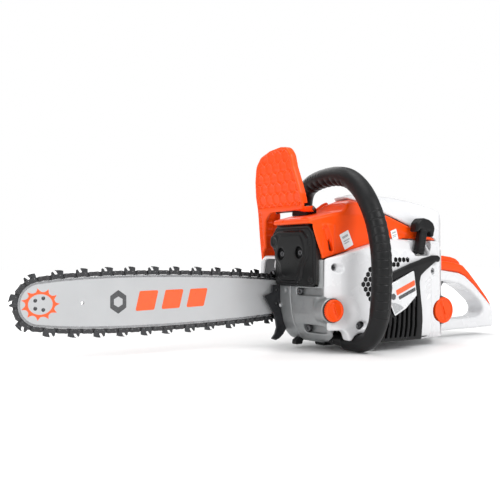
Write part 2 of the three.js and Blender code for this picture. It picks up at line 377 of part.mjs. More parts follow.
// caps and their seals, each on its own thread
function cap(prefix, at, seat) {
  const g = group(at.x, at.y, at.z);
  const ribs = circle(at.r, 24).map(([u, v], i) => (i % 2 ? [u * 0.965, v * 0.965] : [u, v]));
  piece(prefix, cut(all(prism("y", ribs, -7.5, 0), rod("y", at.r - 5, -0.1, 9.6, 0, 0, 20)), prism("y", rounded(rect(-at.r * 0.62, -2.4, at.r * 0.62, 2.4), 1.2, 1), -9, -5.2)), M.orange, g);
  piece(prefix + "_seal", cut(rod("y", at.r - 3.2, 0.2, 1.9, 0, 0, 20), rod("y", at.r - 4.7, -2, 8, 0, 0, 20)), M.rubber, g);
}
cap("oil_cap", OIL_CAP);
cap("fuel_cap", FUEL_CAP);

// stop switch and choke knob on the right of the airbox
const sw = group(214, 57.5, 128);
piece("stop_switch", prism("x", [[-2, -8.5], [0.5, -8.5], [2.6, 0], [0.8, 8.5], [-2, 8.5]], -5, 5), M.orange, sw);
piece("choke_knob", all(rod("y", 3, 42, 54.6, 236, 128, 10), rod("y", 7.5, 54.5, 62, 236, 128, 16)), M.black);

// ---------------------------------------------------------------- front handle
const outerGrip = sweep(part(0.1, 0.93, 36), circle(GRIP_R, 12, 0, 0, Math.PI / 12), 42);
const holeGrip = sweep(part(0, 1, 40), circle(TUBE_R + 0.5, 10), 52);
piece("front_handle_grip", cut(outerGrip, holeGrip), M.rubber);
piece("front_handle_tube", cut(sweep(part(0, 1, 40), circle(TUBE_R, 10), 52), box(30, -21.5, 0, 80, 5, 40)), M.black);
piece("handle_bracket", prism("z", rounded([[60, 37.3], [88, 37.3], [88, 66], [82, 76], [64, 76], [60, 66]], 3, 1), 141, 149), M.black);
// lower bracket and foot, where the tube meets the crankcase
piece("handle_foot", cut(all(box(31, -20, 2.5, 43, 8, 9.7), box(42, -24, 4, 66, 20, 9.7)), sweep(part(0.85, 1, 10), circle(TUBE_R + 0.5, 12), 10), box(44.5, -70, 3, 68, -29.9, 12)), M.rubber);

// ---------------------------------------------------------------- bar and chain
const barTop = BAR_HALF.map(([x, h]) => [x, BAR.z + h]);
const barBottom = BAR_HALF.slice().reverse().map(([x, h]) => [x, BAR.z - h]);
const nose = Array.from({ length: 15 }, (_, i) => {
  const a = (Math.PI * (i + 1)) / 16 + Math.PI / 2;
  return [BAR.noseX + BAR.noseR * Math.cos(a), BAR.z + BAR.noseR * Math.sin(a)];
});
const barOutline = [...barTop.slice().reverse(), ...nose, ...barBottom.slice().reverse()];
const slot = [...circle(4.3, 12, 50, BAR.z, -Math.PI / 2).slice(0, 7), ...circle(4.3, 12, 16, BAR.z, Math.PI / 2).slice(0, 7)];
let bar = prism("y", barOutline, BAR.y0, BAR.y1);
bar = cut(bar, prism("y", slot, 20, 50), rod("y", 3, 20, 50, 36, BAR.z + 13, 10), rod("y", 3, 20, 50, 36, BAR.z - 13, 10), rod("y", 2.2, 20, 50, -301, BAR.z, 12), cut(rod("y", 30, 34, 36, BAR.noseX, BAR.z, 32), rod("y", 8, 30, 40, BAR.noseX, BAR.z, 16)));
piece("guide_bar", bar, M.bar);
const noseWheel = group(BAR.noseX, 35, BAR.z);
piece("nose_sprocket", cut(prism("y", gear(10, 27.2, 23.5, 0.7), -0.7, 0.7), rod("y", 8.3, -5, 5, 0, 0, 16)), M.dark_steel, noseWheel);

// chain: a closed band over the bar's rails and round the drive sprocket
function offsetLoop(points, d) {
  const n = points.length;
  return points.map((p, i) => {
    const a = points[(i + n - 1) % n], b = points[(i + 1) % n];
    const t = new THREE.Vector2(b[0] - a[0], b[1] - a[1]).normalize();
    return [p[0] + t.y * d, p[1] - t.x * d];
  });
}
function rivetLine() {
  const pts = [];
  const top = BAR_HALF.filter(([x]) => x <= 50).map(([x, h]) => [x, h]);
  const turn = Array.from({ length: 15 }, (_, i) => (Math.PI * (i + 1)) / 16 + Math.PI / 2);
  // anticlockwise seen from -Y: bottom rail towards +X, round the sprocket, top rail towards -X, round the nose
  for (const [x, h] of top) pts.push([x, BAR.z - h - RIVET_OFF]);
  for (let i = 0; i < 13; i++) {
    const a = -Math.PI / 2 - 0.02 + (Math.PI * i) / 12;
    pts.push([CRANK.x + SPROCKET_R * Math.cos(a), CRANK.z + SPROCKET_R * Math.sin(a)]);
  }
  for (const [x, h] of top.slice().reverse()) pts.push([x, BAR.z + h + RIVET_OFF]);
  for (const a of turn) pts.push([BAR.noseX + (BAR.noseR + RIVET_OFF) * Math.cos(a), BAR.z + (BAR.noseR + RIVET_OFF) * Math.sin(a)]);
  return pts;
}
const line = rivetLine();
const outer = offsetLoop(line, 3.4), inner = offsetLoop(line, -3.0);
let chain = cut(prism("y", outer, 32.4, 37.6), prism("y", inner, 30, 40));
// the tooth tops, one every four pitches, to the left and right in turn
const loop2 = new THREE.CatmullRomCurve3(line.map(([x, z]) => V3(x, 0, z)), true, "catmullrom", 0.5);
const teeth = CHAIN_LINKS / 2;
for (let i = 0; i < teeth; i++) {
  const p = loop2.getPointAt(i / teeth), t = loop2.getTangentAt(i / teeth);
  const n = [t.z, -t.x];
  const at = (u, w) => [p.x + t.x * u + n[0] * w, p.z + t.z * u + n[1] * w];
  const quad = [at(-6, 2.6), at(6, 2.6), at(6, 7.6), at(-4, 8.4)];
  chain = chain.add(i % 2 ? prism("y", quad, 31.2, 34.6) : prism("y", quad, 35.4, 38.8));
}
piece("saw_chain", chain, M.dark_steel);

// spiked bumper beside the bar
const bumper = prism("y", [[-0.4, 91], [-14, 92], [-15, 80], [-29, 76], [-20, 62], [-12, 50], [-8, 40], [-6, 29], [-9, 20], [-15, 13], [-8, 10.5], [-1, 13], [6, 19], [11.5, 27], [6.4, 37], [2.4, 52], [-0.1, 70]], 25, 28.2).subtract(rod("y", 2.6, 20, 30, -6, 64, 10));
piece("bumper_spike", bumper, M.dark_steel);

// ---------------------------------------------------------------- clutch side
const COVER_SIDE = rounded([[-4, 62], [-6, 92], [-4, 113], [5, 127], [30, 139], [80, 138], [118, 127], [146, 108], [156, 82], [150, 54], [130, 38], [96, 31], [50, 30], [14, 38]], [6, 10, 10, 10, 10, 14, 16, 16, 14, 14, 14, 14, 14, 12], 3);
const COVER_INNER = rounded([[0, 64], [-2, 92], [0, 111], [8, 124], [30, 135], [79, 134], [116, 123.5], [143, 106], [152, 82], [146, 56], [128, 42], [95, 35], [51, 34], [16, 42]], 8, 2);
let cover = cut(prism("y", COVER_SIDE, 31.4, 72), prism("y", COVER_INNER, 30, 68.5));
cover = all(cover, rod("y", 9, 37.3, 70, 22, BAR.z, 16), rod("y", 9, 37.3, 70, 46, BAR.z, 16));
cover = cut(
  cover,
  rod("y", 4.2, 30, 80, 22, BAR.z, 12),
  rod("y", 4.2, 30, 80, 46, BAR.z, 12),
  rod("y", 8.2, 60, 80, 22, BAR.z, 16),
  rod("y", 8.2, 60, 80, 46, BAR.z, 16),
  box(-20, 28, 32, 24, 41.5, 116), // the bar and chain come out at the front
  box(59.5, 28, 106, 90.5, 37.4, 150), // crankcase upstand
  rod("y", 3.2, 30, 80, 4, 84, 10),
  prism("y", rounded(rect(118, 66, 140, 72), 2, 1), 60, 80),
  prism("y", rounded(rect(118, 80, 140, 86), 2, 1), 60, 80),
  prism("y", rounded(rect(118, 94, 136, 100), 2, 1), 60, 80),
);
piece("clutch_cover", cover, M.white);
for (const [name, x] of [["bar_nut_front", 22], ["bar_nut_rear", 46]]) piece(name, cut(rod("y", 7.4, 60.4, 70, x, BAR.z, 6), rod("y", 4.1, 50, 66, x, BAR.z, 12)), M.steel);
piece("tension_screw", rod("y", 2.8, 62, 71, 4, 84, 10), M.steel);
piece("chain_catcher", prism("y", rounded([[34, 41.5], [52, 40], [52, 46], [40, 49], [34, 46]], 2, 1), 42, 47), M.aluminium);

// ---------------------------------------------------------------- hand guard, the chain brake's lever
const guard = group(GUARD_PIVOT.x, 0, GUARD_PIVOT.z);
const PLATE = rounded([[79, -78], [80, -58], [79, -5], [79, 20], [76, 44], [69, 66], [55, 79], [30, 86], [4, 88.5], [-11, 87], [-20, 76], [-23, 58], [-29, 38], [-34, 20], [-35, 3], [-31, -3], [60, -5], [70, -22], [73.6, -40], [73.6, -78]], [2, 4, 10, 10, 10, 12, 14, 14, 12, 12, 10, 12, 10, 8, 4, 4, 14, 10, 4, 2], 2);
// seen from the side the plate leans forward at its top
const plateSide = [[-46, 91], [-42, 91], [-38, 60], [-32, 20], [-28, 0], [-24, -40], [-22, -78], [-26, -78], [-30, -40], [-34, 0], [-38, 22], [-43, 60]];
let guardSolid = both(prism("x", PLATE, -70, -20), prism("y", plateSide, -40, 90));
guardSolid = all(
  guardSolid,
  prism("y", rounded([[-33.2, -3], [-33.2, 6], [-16, 3], [2, 4.5], [5, 0], [2, -4.5], [-16, -5]], [0, 2, 4, 4, 4, 4, 4], 2), -18, -12.6), // left arm
  prism("y", rounded([[-33.2, 4], [-30, -40], [-26, -78], [-8, -79], [0, -70], [4, -40], [6.5, -5], [4, 4], [0, 5.8], [-16, 6]], [2, 4, 2, 6, 8, 12, 5, 3, 3, 6], 2), 74, 79), // right arm, a broad cheek beside the clutch cover
  prism("x", rounded(rect(-33, -3, 77, 2), 1, 1), -33.6, -26),
);
guardSolid = cut(guardSolid, rod("y", 3.1, -20, 90, 0, 0, 12));
piece("hand_guard", guardSolid, M.orange, guard);
piece("guard_bracket", cut(prism("y", [[20, 193.0], [40, 197.0], [39.5, 203], [34, 207.5], [26, 207.5], [21, 203]], -12, 24), rod("y", 3.1, -20, 40, GUARD_PIVOT.x, GUARD_PIVOT.z, 12)), M.black);
piece("guard_pin", rod("y", 2.8, -17.8, 78.8, GUARD_PIVOT.x, GUARD_PIVOT.z, 12), M.steel);

// ---------------------------------------------------------------- origin
const bounds = new THREE.Box3().setFromObject(saw);
saw.position.set(-(bounds.min.x + bounds.max.x) / 2, -(bounds.min.y + bounds.max.y) / 2, -bounds.min.z);

export default saw;
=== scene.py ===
import math
import bpy
import bmesh
import numpy as np
import openvdb as vdb
from mathutils import Matrix, Vector


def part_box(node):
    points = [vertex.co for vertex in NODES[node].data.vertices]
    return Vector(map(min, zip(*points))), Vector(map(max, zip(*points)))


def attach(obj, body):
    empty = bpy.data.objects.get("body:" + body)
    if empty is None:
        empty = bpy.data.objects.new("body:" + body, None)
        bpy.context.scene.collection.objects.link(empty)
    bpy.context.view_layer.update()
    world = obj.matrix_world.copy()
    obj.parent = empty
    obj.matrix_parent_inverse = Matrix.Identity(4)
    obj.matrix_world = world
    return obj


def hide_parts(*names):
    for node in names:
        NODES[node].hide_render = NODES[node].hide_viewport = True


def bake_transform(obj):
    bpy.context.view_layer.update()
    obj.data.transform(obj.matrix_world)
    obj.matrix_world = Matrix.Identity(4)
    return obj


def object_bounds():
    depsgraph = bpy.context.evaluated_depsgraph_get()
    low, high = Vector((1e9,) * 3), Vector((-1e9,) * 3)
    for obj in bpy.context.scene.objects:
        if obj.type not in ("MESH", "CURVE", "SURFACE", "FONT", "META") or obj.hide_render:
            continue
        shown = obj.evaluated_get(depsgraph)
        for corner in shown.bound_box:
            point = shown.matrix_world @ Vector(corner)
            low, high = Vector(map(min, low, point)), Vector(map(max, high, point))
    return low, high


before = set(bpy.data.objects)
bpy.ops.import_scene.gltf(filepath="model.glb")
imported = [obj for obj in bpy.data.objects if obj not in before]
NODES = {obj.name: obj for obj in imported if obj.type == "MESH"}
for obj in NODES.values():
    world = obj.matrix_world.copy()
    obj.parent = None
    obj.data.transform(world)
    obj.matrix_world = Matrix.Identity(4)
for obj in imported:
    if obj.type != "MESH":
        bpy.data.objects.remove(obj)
CAD_BOX = [list(map(float, c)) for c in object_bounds()]

# The shapes below are in the design frame: millimetres, X = 0 at the front of the crankcase, Y = 0 at its joint, Z = 0 the ground.
_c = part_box("crankcase_clutch_half")[0]
OFF = np.array([_c[0] - 0.0, _c[1] - 0.00015, _c[2] - 0.010])


def P(x, y, z):
    """A design point in the row frame, in metres."""
    return Vector((x * 0.001 + OFF[0], y * 0.001 + OFF[1], z * 0.001 + OFF[2]))


# ---------------------------------------------------------------- camera first
cam_data = bpy.data.cameras.new("camera")
cam_data.sensor_width = 36.0
cam_data.lens = 54.86
cam_data.clip_start = 0.05
cam_data.clip_end = 30.0
camera = bpy.data.objects.new("camera", cam_data)
bpy.context.scene.collection.objects.link(camera)
TH = math.radians(33.2)
look = Vector((math.sin(TH), math.cos(TH), math.tan(math.radians(0.60)))).normalized()
right = Vector((math.cos(TH), -math.sin(TH), 0.0))
up = right.cross(look)
m = Matrix((right, up, -look)).transposed().to_4x4()
m.translation = P(-651.75, -889.8, 131.0)
camera.matrix_world = m
bpy.context.scene.camera = camera


bpy.context.scene.view_settings.view_transform = "Standard"


# ---------------------------------------------------------------- distance fields
def rmax(a, b, r=0.0):
    """Intersection with a convex edge rounded to radius r."""
    if r <= 0:
        return np.maximum(a, b)
    return np.minimum(-r, np.maximum(a, b)) + np.sqrt(np.maximum(a + r, 0) ** 2 + np.maximum(b + r, 0) ** 2)


def rmin(a, b, r=0.0):
    """Union with a hollow edge filled to radius r."""
    if r <= 0:
        return np.minimum(a, b)
    return np.maximum(r, np.minimum(a, b)) - np.sqrt(np.maximum(r - a, 0) ** 2 + np.maximum(r - b, 0) ** 2)


def rounded(points, r, steps=7):
    out = []
    n = len(points)
    for i, p in enumerate(points):
        radius = r[i] if isinstance(r, (list, tuple)) else r
        a, b, c = (np.array(points[(i + k) % n], float) for k in (-1, 0, 1))
        u, w = a - b, c - b
        lu, lw = np.linalg.norm(u), np.linalg.norm(w)
        u, w = u / lu, w / lw
        half = math.acos(max(-1.0, min(1.0, float(u @ w)))) / 2
        cutback = min(radius / math.tan(half), lu * 0.48, lw * 0.48) if half > 1e-3 else 0
        if not radius or cutback < 0.05 or half > 1.55:
            out.append((b[0], b[1]))
            continue
        s, e = b + u * cutback, b + w * cutback
        for k in range(steps + 1):
            t = k / steps
            q = s * (1 - t) ** 2 + b * 2 * t * (1 - t) + e * t * t
            out.append((q[0], q[1]))
    return out


def poly2(u, v, pts):
    """Signed distance to a polygon on the grid u x v."""
    U, V = u[:, None], v[None, :]
    best = np.full((len(u), len(v)), 1e12, np.float64)
    inside = np.zeros((len(u), len(v)), bool)
    n = len(pts)
    for i in range(n):
        (x0, y0), (x1, y1) = pts[i], pts[(i + 1) % n]
        dx, dy = x1 - x0, y1 - y0
        l2 = dx * dx + dy * dy
        if l2 < 1e-12:
            continue
        t = np.clip(((U - x0) * dx + (V - y0) * dy) / l2, 0, 1)
        best = np.minimum(best, (U - x0 - t * dx) ** 2 + (V - y0 - t * dy) ** 2)
        if y0 != y1:
            crosses = (y0 > V) != (y1 > V)
            inside ^= crosses & (U < (x1 - x0) * (V - y0) / (y1 - y0) + x0)
    d = np.sqrt(best)
    return np.where(inside, -d, d).astype(np.float32)


class Field:
    """A block of space sampled every h millimetres."""

    def __init__(self, lo, hi, h):
        self.h = h
        self.lo = np.array(lo, float) - 3 * h
        n = np.ceil((np.array(hi, float) - self.lo + 3 * h) / h).astype(int) + 1
        self.ax = [self.lo[k] + h * np.arange(n[k]) for k in range(3)]
        self.x = self.ax[0].astype(np.float32)[:, None, None]
        self.y = self.ax[1].astype(np.float32)[None, :, None]
        self.z = self.ax[2].astype(np.float32)[None, None, :]

    def outline(self, axis, pts):
        if axis == "x":
            return poly2(self.ax[1], self.ax[2], pts)[None, :, :]
        if axis == "y":
            return poly2(self.ax[0], self.ax[2], pts)[:, None, :]
        return poly2(self.ax[0], self.ax[1], pts)[:, :, None]

    def slab(self, axis, a, b):
        w = {"x": self.x, "y": self.y, "z": self.z}[axis]
        return np.maximum(a - w, w - b)

    def prism(self, axis, pts, a, b, r=0.0):
        return rmax(self.outline(axis, pts), self.slab(axis, a, b), r)

    def box(self, x0, y0, z0, x1, y1, z1, r=0.0):
        return rmax(rmax(self.slab("x", x0, x1), self.slab("y", y0, y1), r), self.slab("z", z0, z1), r)

    def rod(self, axis, radius, a, b, u, v, r=0.0):
        if axis == "x":
            d = np.sqrt((self.y - u) ** 2 + (self.z - v) ** 2) - radius
        elif axis == "y":
            d = np.sqrt((self.x - u) ** 2 + (self.z - v) ** 2) - radius
        else:
            d = np.sqrt((self.x - u) ** 2 + (self.y - v) ** 2) - radius
        return rmax(d, self.slab(axis, a, b), r)

    def capsule(self, a, b, radius):
        a, b = np.array(a, float), np.array(b, float)
        d = b - a
        t = np.clip(((self.x - a[0]) * d[0] + (self.y - a[1]) * d[1] + (self.z - a[2]) * d[2]) / (d @ d), 0, 1)
        return np.sqrt((self.x - a[0] - t * d[0]) ** 2 + (self.y - a[1] - t * d[1]) ** 2 + (self.z - a[2] - t * d[2]) ** 2) - radius

    def ball(self, c, radii):
        q = ((self.x - c[0]) / radii[0]) ** 2 + ((self.y - c[1]) / radii[1]) ** 2 + ((self.z - c[2]) / radii[2]) ** 2
        return (np.sqrt(q) - 1) * min(radii)


def blur(d, times=1):
    for _ in range(times):
        for k in range(3):
            s = [slice(None)] * 3
            a, b, c = list(s), list(s), list(s)
            a[k], b[k], c[k] = slice(0, -2), slice(1, -1), slice(2, None)
            e = d.copy()
            e[tuple(b)] = 0.25 * d[tuple(a)] + 0.5 * d[tuple(b)] + 0.25 * d[tuple(c)]
            d = e
    return d


def rects(lo, hi):
    return [(lo[0], lo[1]), (hi[0], lo[1]), (hi[0], hi[1]), (lo[0], hi[1])]


def circle(r, n, u=0.0, v=0.0, turn=0.0):
    return [(u + r * math.cos(turn + 2 * math.pi * i / n), v + r * math.sin(turn + 2 * math.pi * i / n)) for i in range(n)]


# ---------------------------------------------------------------- meshes
def new_mesh(name, verts, faces, material, smooth=True, slot=None):
    """verts in design millimetres; faces as a list of index rows, or arrays of quads and triangles."""
    me = bpy.data.meshes.new(name)
    co = np.asarray(verts, float) * 0.001 + OFF
    if isinstance(faces, tuple):
        tris, quads = faces
        loops = np.concatenate([tris.reshape(-1), quads.reshape(-1)]).astype(np.int32)
        sizes = np.concatenate([np.full(len(tris), 3), np.full(len(quads), 4)]).astype(np.int32)
        starts = np.concatenate([[0], np.cumsum(sizes)[:-1]]).astype(np.int32)
        me.vertices.add(len(co))
        me.vertices.foreach_set("co", co.astype(np.float32).reshape(-1))
        me.loops.add(len(loops))
        me.loops.foreach_set("vertex_index", loops)
        me.polygons.add(len(sizes))
        me.polygons.foreach_set("loop_start", starts)
        me.update(calc_edges=True)
    else:
        me.from_pydata([tuple(c) for c in co], [], [list(map(int, f)) for f in faces])
        me.update()
    me.validate()
    if smooth:
        me.polygons.foreach_set("use_smooth", np.ones(len(me.polygons), bool))
    ob = bpy.data.objects.new(name, me)
    bpy.context.scene.collection.objects.link(ob)
    ob.data.materials.append(material)
    return ob


def from_field(name, f, d, material, adapt=0.0, soft=1):
    h = f.h
    d = np.broadcast_to(d, (len(f.ax[0]), len(f.ax[1]), len(f.ax[2])))
    d = np.clip(d, -4 * h, 4 * h).astype(np.float32)
    if soft:
        d = blur(d, soft)
    g = vdb.FloatGrid(4 * h)
    g.copyFromArray(np.ascontiguousarray(d))
    pts, tris, quads = g.convertToPolygons(isovalue=0.0, adaptivity=adapt)
    pts = np.asarray(pts, float) * h + f.lo
    tris, quads = np.asarray(tris, int).reshape(-1, 3), np.asarray(quads, int).reshape(-1, 4)
    # outward faces
    t = np.concatenate([tris, quads[:, :3], quads[:, [0, 2, 3]]])
    vol = np.einsum("ij,ij->i", pts[t[:, 0]], np.cross(pts[t[:, 1]], pts[t[:, 2]])).sum()
    if vol < 0:
        tris, quads = tris[:, ::-1], quads[:, ::-1]
    return new_mesh(name, pts, (tris, quads), material)


def put(ob, body, nodes=()):
    if isinstance(nodes, str):
        nodes = (nodes,)
    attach(ob, body)
    if nodes:
        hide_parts(*nodes)
    return ob


def lathe(name, profile, axis, centre, material, n=48, body=None):
    """A turned piece: profile is (radius, along), closed on the axis at both ends."""
    verts, faces = [], []
    k = len(profile)
    for i in range(n):
        a = 2 * math.pi * i / n
        c, s = math.cos(a), math.sin(a)
        for r, w in profile:
            p = {"x": (w, r * c, r * s), "y": (r * c, w, -r * s), "z": (r * c, r * s, w)}[axis]
            verts.append([centre[j] + p[j] for j in range(3)])
    for i in range(n):
        j = (i + 1) % n
        for q in range(k - 1):
            a, b, c, d = i * k + q, j * k + q, j * k + q + 1, i * k + q + 1
            if profile[q][0] < 1e-6:
                faces.append([i * k + q, c, d])
            elif profile[q + 1][0] < 1e-6:
                faces.append([a, b, d])
            else:
                faces.append([a, b, c, d])
    ob = new_mesh(name, verts, faces, material)
    bm = bmesh.new()
    bm.from_mesh(ob.data)
    bmesh.ops.remove_doubles(bm, verts=bm.verts, dist=1e-6)
    bmesh.ops.recalc_face_normals(bm, faces=bm.faces)
    bm.to_mesh(ob.data)
    bm.free()
    return ob


def extruded(name, outline, axis, a, b, material, bevel=0.3, holes=(), segments=2):
    """A flat plate cut to an outline, with small rounded edges."""
    cu = bpy.data.curves.new(name, "CURVE")
    cu.dimensions = "2D"
    cu.fill_mode = "BOTH"
    for pts in [outline, *holes]:
        sp = cu.splines.new("POLY")
        sp.points.add(len(pts) - 1)
        for q, (u, v) in zip(sp.points, pts):
            q.co = (u * 0.001, v * 0.001, 0, 1)
        sp.use_cyclic_u = True
    cu.extrude = max((abs(b - a) / 2 - bevel) * 0.001, 1e-6)
    cu.bevel_depth = bevel * 0.001
    cu.offset = -bevel * 0.001
    cu.bevel_resolution = segments
    tmp = bpy.data.objects.new(name + "_c", cu)
    bpy.context.scene.collection.objects.link(tmp)
    bpy.context.view_layer.update()
    me = bpy.data.meshes.new_from_object(tmp.evaluated_get(bpy.context.evaluated_depsgraph_get()))
    bpy.data.objects.remove(tmp)
    bpy.data.curves.remove(cu)
    basis = {
        "x": Matrix(((0, 0, 1), (1, 0, 0), (0, 1, 0))),
        "y": Matrix(((1, 0, 0), (0, 0, -1), (0, 1, 0))),
        "z": Matrix.Identity(3),
    }[axis].to_4x4()
    mid = (a + b) / 2
    off = Vector(OFF) + Vector({"x": (mid, 0, 0), "y": (0, mid, 0), "z": (0, 0, mid)}[axis]) * 0.001
    me.transform(Matrix.Translation(off) @ basis)
    bm = bmesh.new()
    bm.from_mesh(me)
    bmesh.ops.remove_doubles(bm, verts=bm.verts, dist=1e-6)
    bmesh.ops.recalc_face_normals(bm, faces=bm.faces)
    bm.to_mesh(me)
    bm.free()
    me.materials.clear()
    me.materials.append(material)
    me.name = name
    ob = bpy.data.objects.new(name, me)
    bpy.context.scene.collection.objects.link(ob)
    me.polygons.foreach_set("use_smooth", np.ones(len(me.polygons), bool))
    mod = ob.modifiers.new("sharp", "WEIGHTED_NORMAL")
    mod.keep_sharp = True
    return ob


def catmull(points, samples):
    """Evenly spaced points on a uniform Catmull-Rom curve, as in the frame's front handle."""
    p = [np.array(q, float) for q in points]
    p = [2 * p[0] - p[1]] + p + [2 * p[-1] - p[-2]]
    fine = []
    for i in range(1, len(p) - 2):
        for k in range(40):
            t = k / 40
            a, b, c, d = p[i - 1], p[i], p[i + 1], p[i + 2]
            fine.append(0.5 * (2 * b + (c - a) * t + (2 * a - 5 * b + 4 * c - d) * t * t + (-a + 3 * b - 3 * c + d) * t**3))
    fine.append(p[-2])
    fine = np.array(fine)
    s = np.concatenate([[0], np.cumsum(np.linalg.norm(np.diff(fine, axis=0), axis=1))])
    at = np.linspace(0, s[-1], samples)
    return np.stack([np.interp(at, s, fine[:, k]) for k in range(3)], 1), s[-1]


def tube(name, pts, radius, material, n=32, caps=True):
    """A round bar along points; radius(s, a) may vary along and around it."""
    pts = np.asarray(pts, float)
    t = np.gradient(pts, axis=0)
    t /= np.linalg.norm(t, axis=1)[:, None]
    ref = np.array([1.0, 0, 0]) if abs(t[0][0]) < 0.9 else np.array([0, 0, 1.0])
    verts = []
    s = np.concatenate([[0], np.cumsum(np.linalg.norm(np.diff(pts, axis=0), axis=1))])
    v = ref - t[0] * (ref @ t[0])
    v /= np.linalg.norm(v)
    for i in range(len(pts)):
        v = v - t[i] * (v @ t[i])
        v /= np.linalg.norm(v)
        w = np.cross(t[i], v)
        for k in range(n):
            a = 2 * math.pi * k / n
            r = radius(s[i], a) if callable(radius) else radius
            verts.append(pts[i] + r * (v * math.cos(a) + w * math.sin(a)))
    m_ = len(pts)
    quads = []
    for i in range(m_ - 1):
        for k in range(n):
            j = (k + 1) % n
            quads.append([i * n + k, i * n + j, (i + 1) * n + j, (i + 1) * n + k])
    faces = quads
    if caps:
        verts.append(pts[0])
        verts.append(pts[-1])
        for k in range(n):
            j = (k + 1) % n
            faces.append([m_ * n, j, k])
            faces.append([m_ * n + 1, (m_ - 1) * n + k, (m_ - 1) * n + j])
    return new_mesh(name, verts, faces, material)


# ---------------------------------------------------------------- materials
def surface(name, color, rough, metal=0.0, coat=0.0, coat_rough=0.05, tone=0.05, tone_size=0.03, grain=0.0005, bump=0.06, grain_depth=0.00004,
            rough_var=0.08, spec=0.5, dirt=None, dirt_amount=0.0, scratch=0.0, edge_wear_and_highlight=None, edge_wear_and_highlight_amount=0.0, sheen=0.0):
    """A moulded, cast, painted or rubber surface: slow tone change, patchy gloss, fine grain, and optional smudges,
    scratches, and a lighter colour on convex edges that is part edge wear and part painted edge highlight.
    """
    mt = bpy.data.materials.new(name)
    mt.use_nodes = True
    nt = mt.node_tree
    n, l = nt.nodes, nt.links
    b = n["Principled BSDF"]
    b.inputs["Metallic"].default_value = metal
    b.inputs["Coat Weight"].default_value = coat
    b.inputs["Coat Roughness"].default_value = coat_rough
    b.inputs["Specular IOR Level"].default_value = spec
    b.inputs["Sheen Weight"].default_value = sheen
    tc = n.new("ShaderNodeTexCoord")
    slow = n.new("ShaderNodeTexNoise")
    slow.inputs["Scale"].default_value = 1 / tone_size
    slow.inputs["Detail"].default_value = 4
    l.new(tc.outputs["Object"], slow.inputs["Vector"])
    mix = n.new("ShaderNodeMix")
    mix.data_type = "RGBA"
    lo = [c * (1 - tone) for c in color]
    hi = [min(1.0, c * (1 + tone)) for c in color]
    mix.inputs["A"].default_value = (*lo, 1)
    mix.inputs["B"].default_value = (*hi, 1)
    ramp = n.new("ShaderNodeMapRange")
    ramp.inputs["From Min"].default_value = 0.3
    ramp.inputs["From Max"].default_value = 0.7
    l.new(slow.outputs["Fac"], ramp.inputs["Value"])
    l.new(ramp.outputs["Result"], mix.inputs["Factor"])
    out = mix.outputs["Result"]
    if dirt is not None:
        dn = n.new("ShaderNodeTexNoise")
        dn.inputs["Scale"].default_value = 1 / (tone_size * 0.35)
        dn.inputs["Detail"].default_value = 8
        dn.inputs["Roughness"].default_value = 0.65
        l.new(tc.outputs["Object"], dn.inputs["Vector"])
        dr = n.new("ShaderNodeMapRange")
        dr.inputs["From Min"].default_value = 0.5
        dr.inputs["From Max"].default_value = 0.75
        dr.inputs["To Max"].default_value = dirt_amount
        l.new(dn.outputs["Fac"], dr.inputs["Value"])
        dm = n.new("ShaderNodeMix")
        dm.data_type = "RGBA"
        l.new(dr.outputs["Result"], dm.inputs["Factor"])
        l.new(out, dm.inputs["A"])
        dm.inputs["B"].default_value = (*dirt, 1)
        out = dm.outputs["Result"]
    # convex edges, found by pointiness, are mixed toward a lighter colour: edge wear, and a painted edge highlight
    # where light would catch them
    if edge_wear_and_highlight is not None:
        ge = n.new("ShaderNodeNewGeometry")
        wr = n.new("ShaderNodeMapRange")
        wr.inputs["From Min"].default_value = 0.515
        wr.inputs["From Max"].default_value = 0.58
        wr.inputs["To Max"].default_value = edge_wear_and_highlight_amount
        l.new(ge.outputs["Pointiness"], wr.inputs["Value"])
        wm = n.new("ShaderNodeMix")
        wm.data_type = "RGBA"
        l.new(wr.outputs["Result"], wm.inputs["Factor"])
        l.new(out, wm.inputs["A"])
        wm.inputs["B"].default_value = (*edge_wear_and_highlight, 1)
        out = wm.outputs["Result"]
    l.new(out, b.inputs["Base Color"])
    rn = n.new("ShaderNodeTexNoise")
    rn.inputs["Scale"].default_value = 1 / (tone_size * 0.5)
    rn.inputs["Detail"].default_value = 6
    l.new(tc.outputs["Object"], rn.inputs["Vector"])
    rr = n.new("ShaderNodeMapRange")
    rr.inputs["From Min"].default_value = 0.3
    rr.inputs["From Max"].default_value = 0.7
    rr.inputs["To Min"].default_value = max(0.02, rough - rough_var)
    rr.inputs["To Max"].default_value = min(1.0, rough + rough_var)
    l.new(rn.outputs["Fac"], rr.inputs["Value"])
    l.new(rr.outputs["Result"], b.inputs["Roughness"])
    gn = n.new("ShaderNodeTexNoise")
    gn.inputs["Scale"].default_value = 1 / grain
    gn.inputs["Detail"].default_value = 3
    l.new(tc.outputs["Object"], gn.inputs["Vector"])
    height = gn.outputs["Fac"]
    if scratch:
        mp = n.new("ShaderNodeMapping")
        mp.inputs["Scale"].default_value = (60, 60, 2600)
        l.new(tc.outputs["Object"], mp.inputs["Vector"])
        sn = n.new("ShaderNodeTexNoise")
        sn.inputs["Scale"].default_value = 1.0
        sn.inputs["Detail"].default_value = 4
        l.new(mp.outputs["Vector"], sn.inputs["Vector"])
        ad = n.new("ShaderNodeMath")
        ad.operation = "MULTIPLY_ADD"
        ad.inputs[1].default_value = scratch
        l.new(sn.outputs["Fac"], ad.inputs[0])
        l.new(height, ad.inputs[2])
        height = ad.outputs["Value"]
    bp = n.new("ShaderNodeBump")
    bp.inputs["Strength"].default_value = bump
    bp.inputs["Distance"].default_value = grain_depth
    l.new(height, bp.inputs["Height"])
    l.new(bp.outputs["Normal"], b.inputs["Normal"])
    return mt


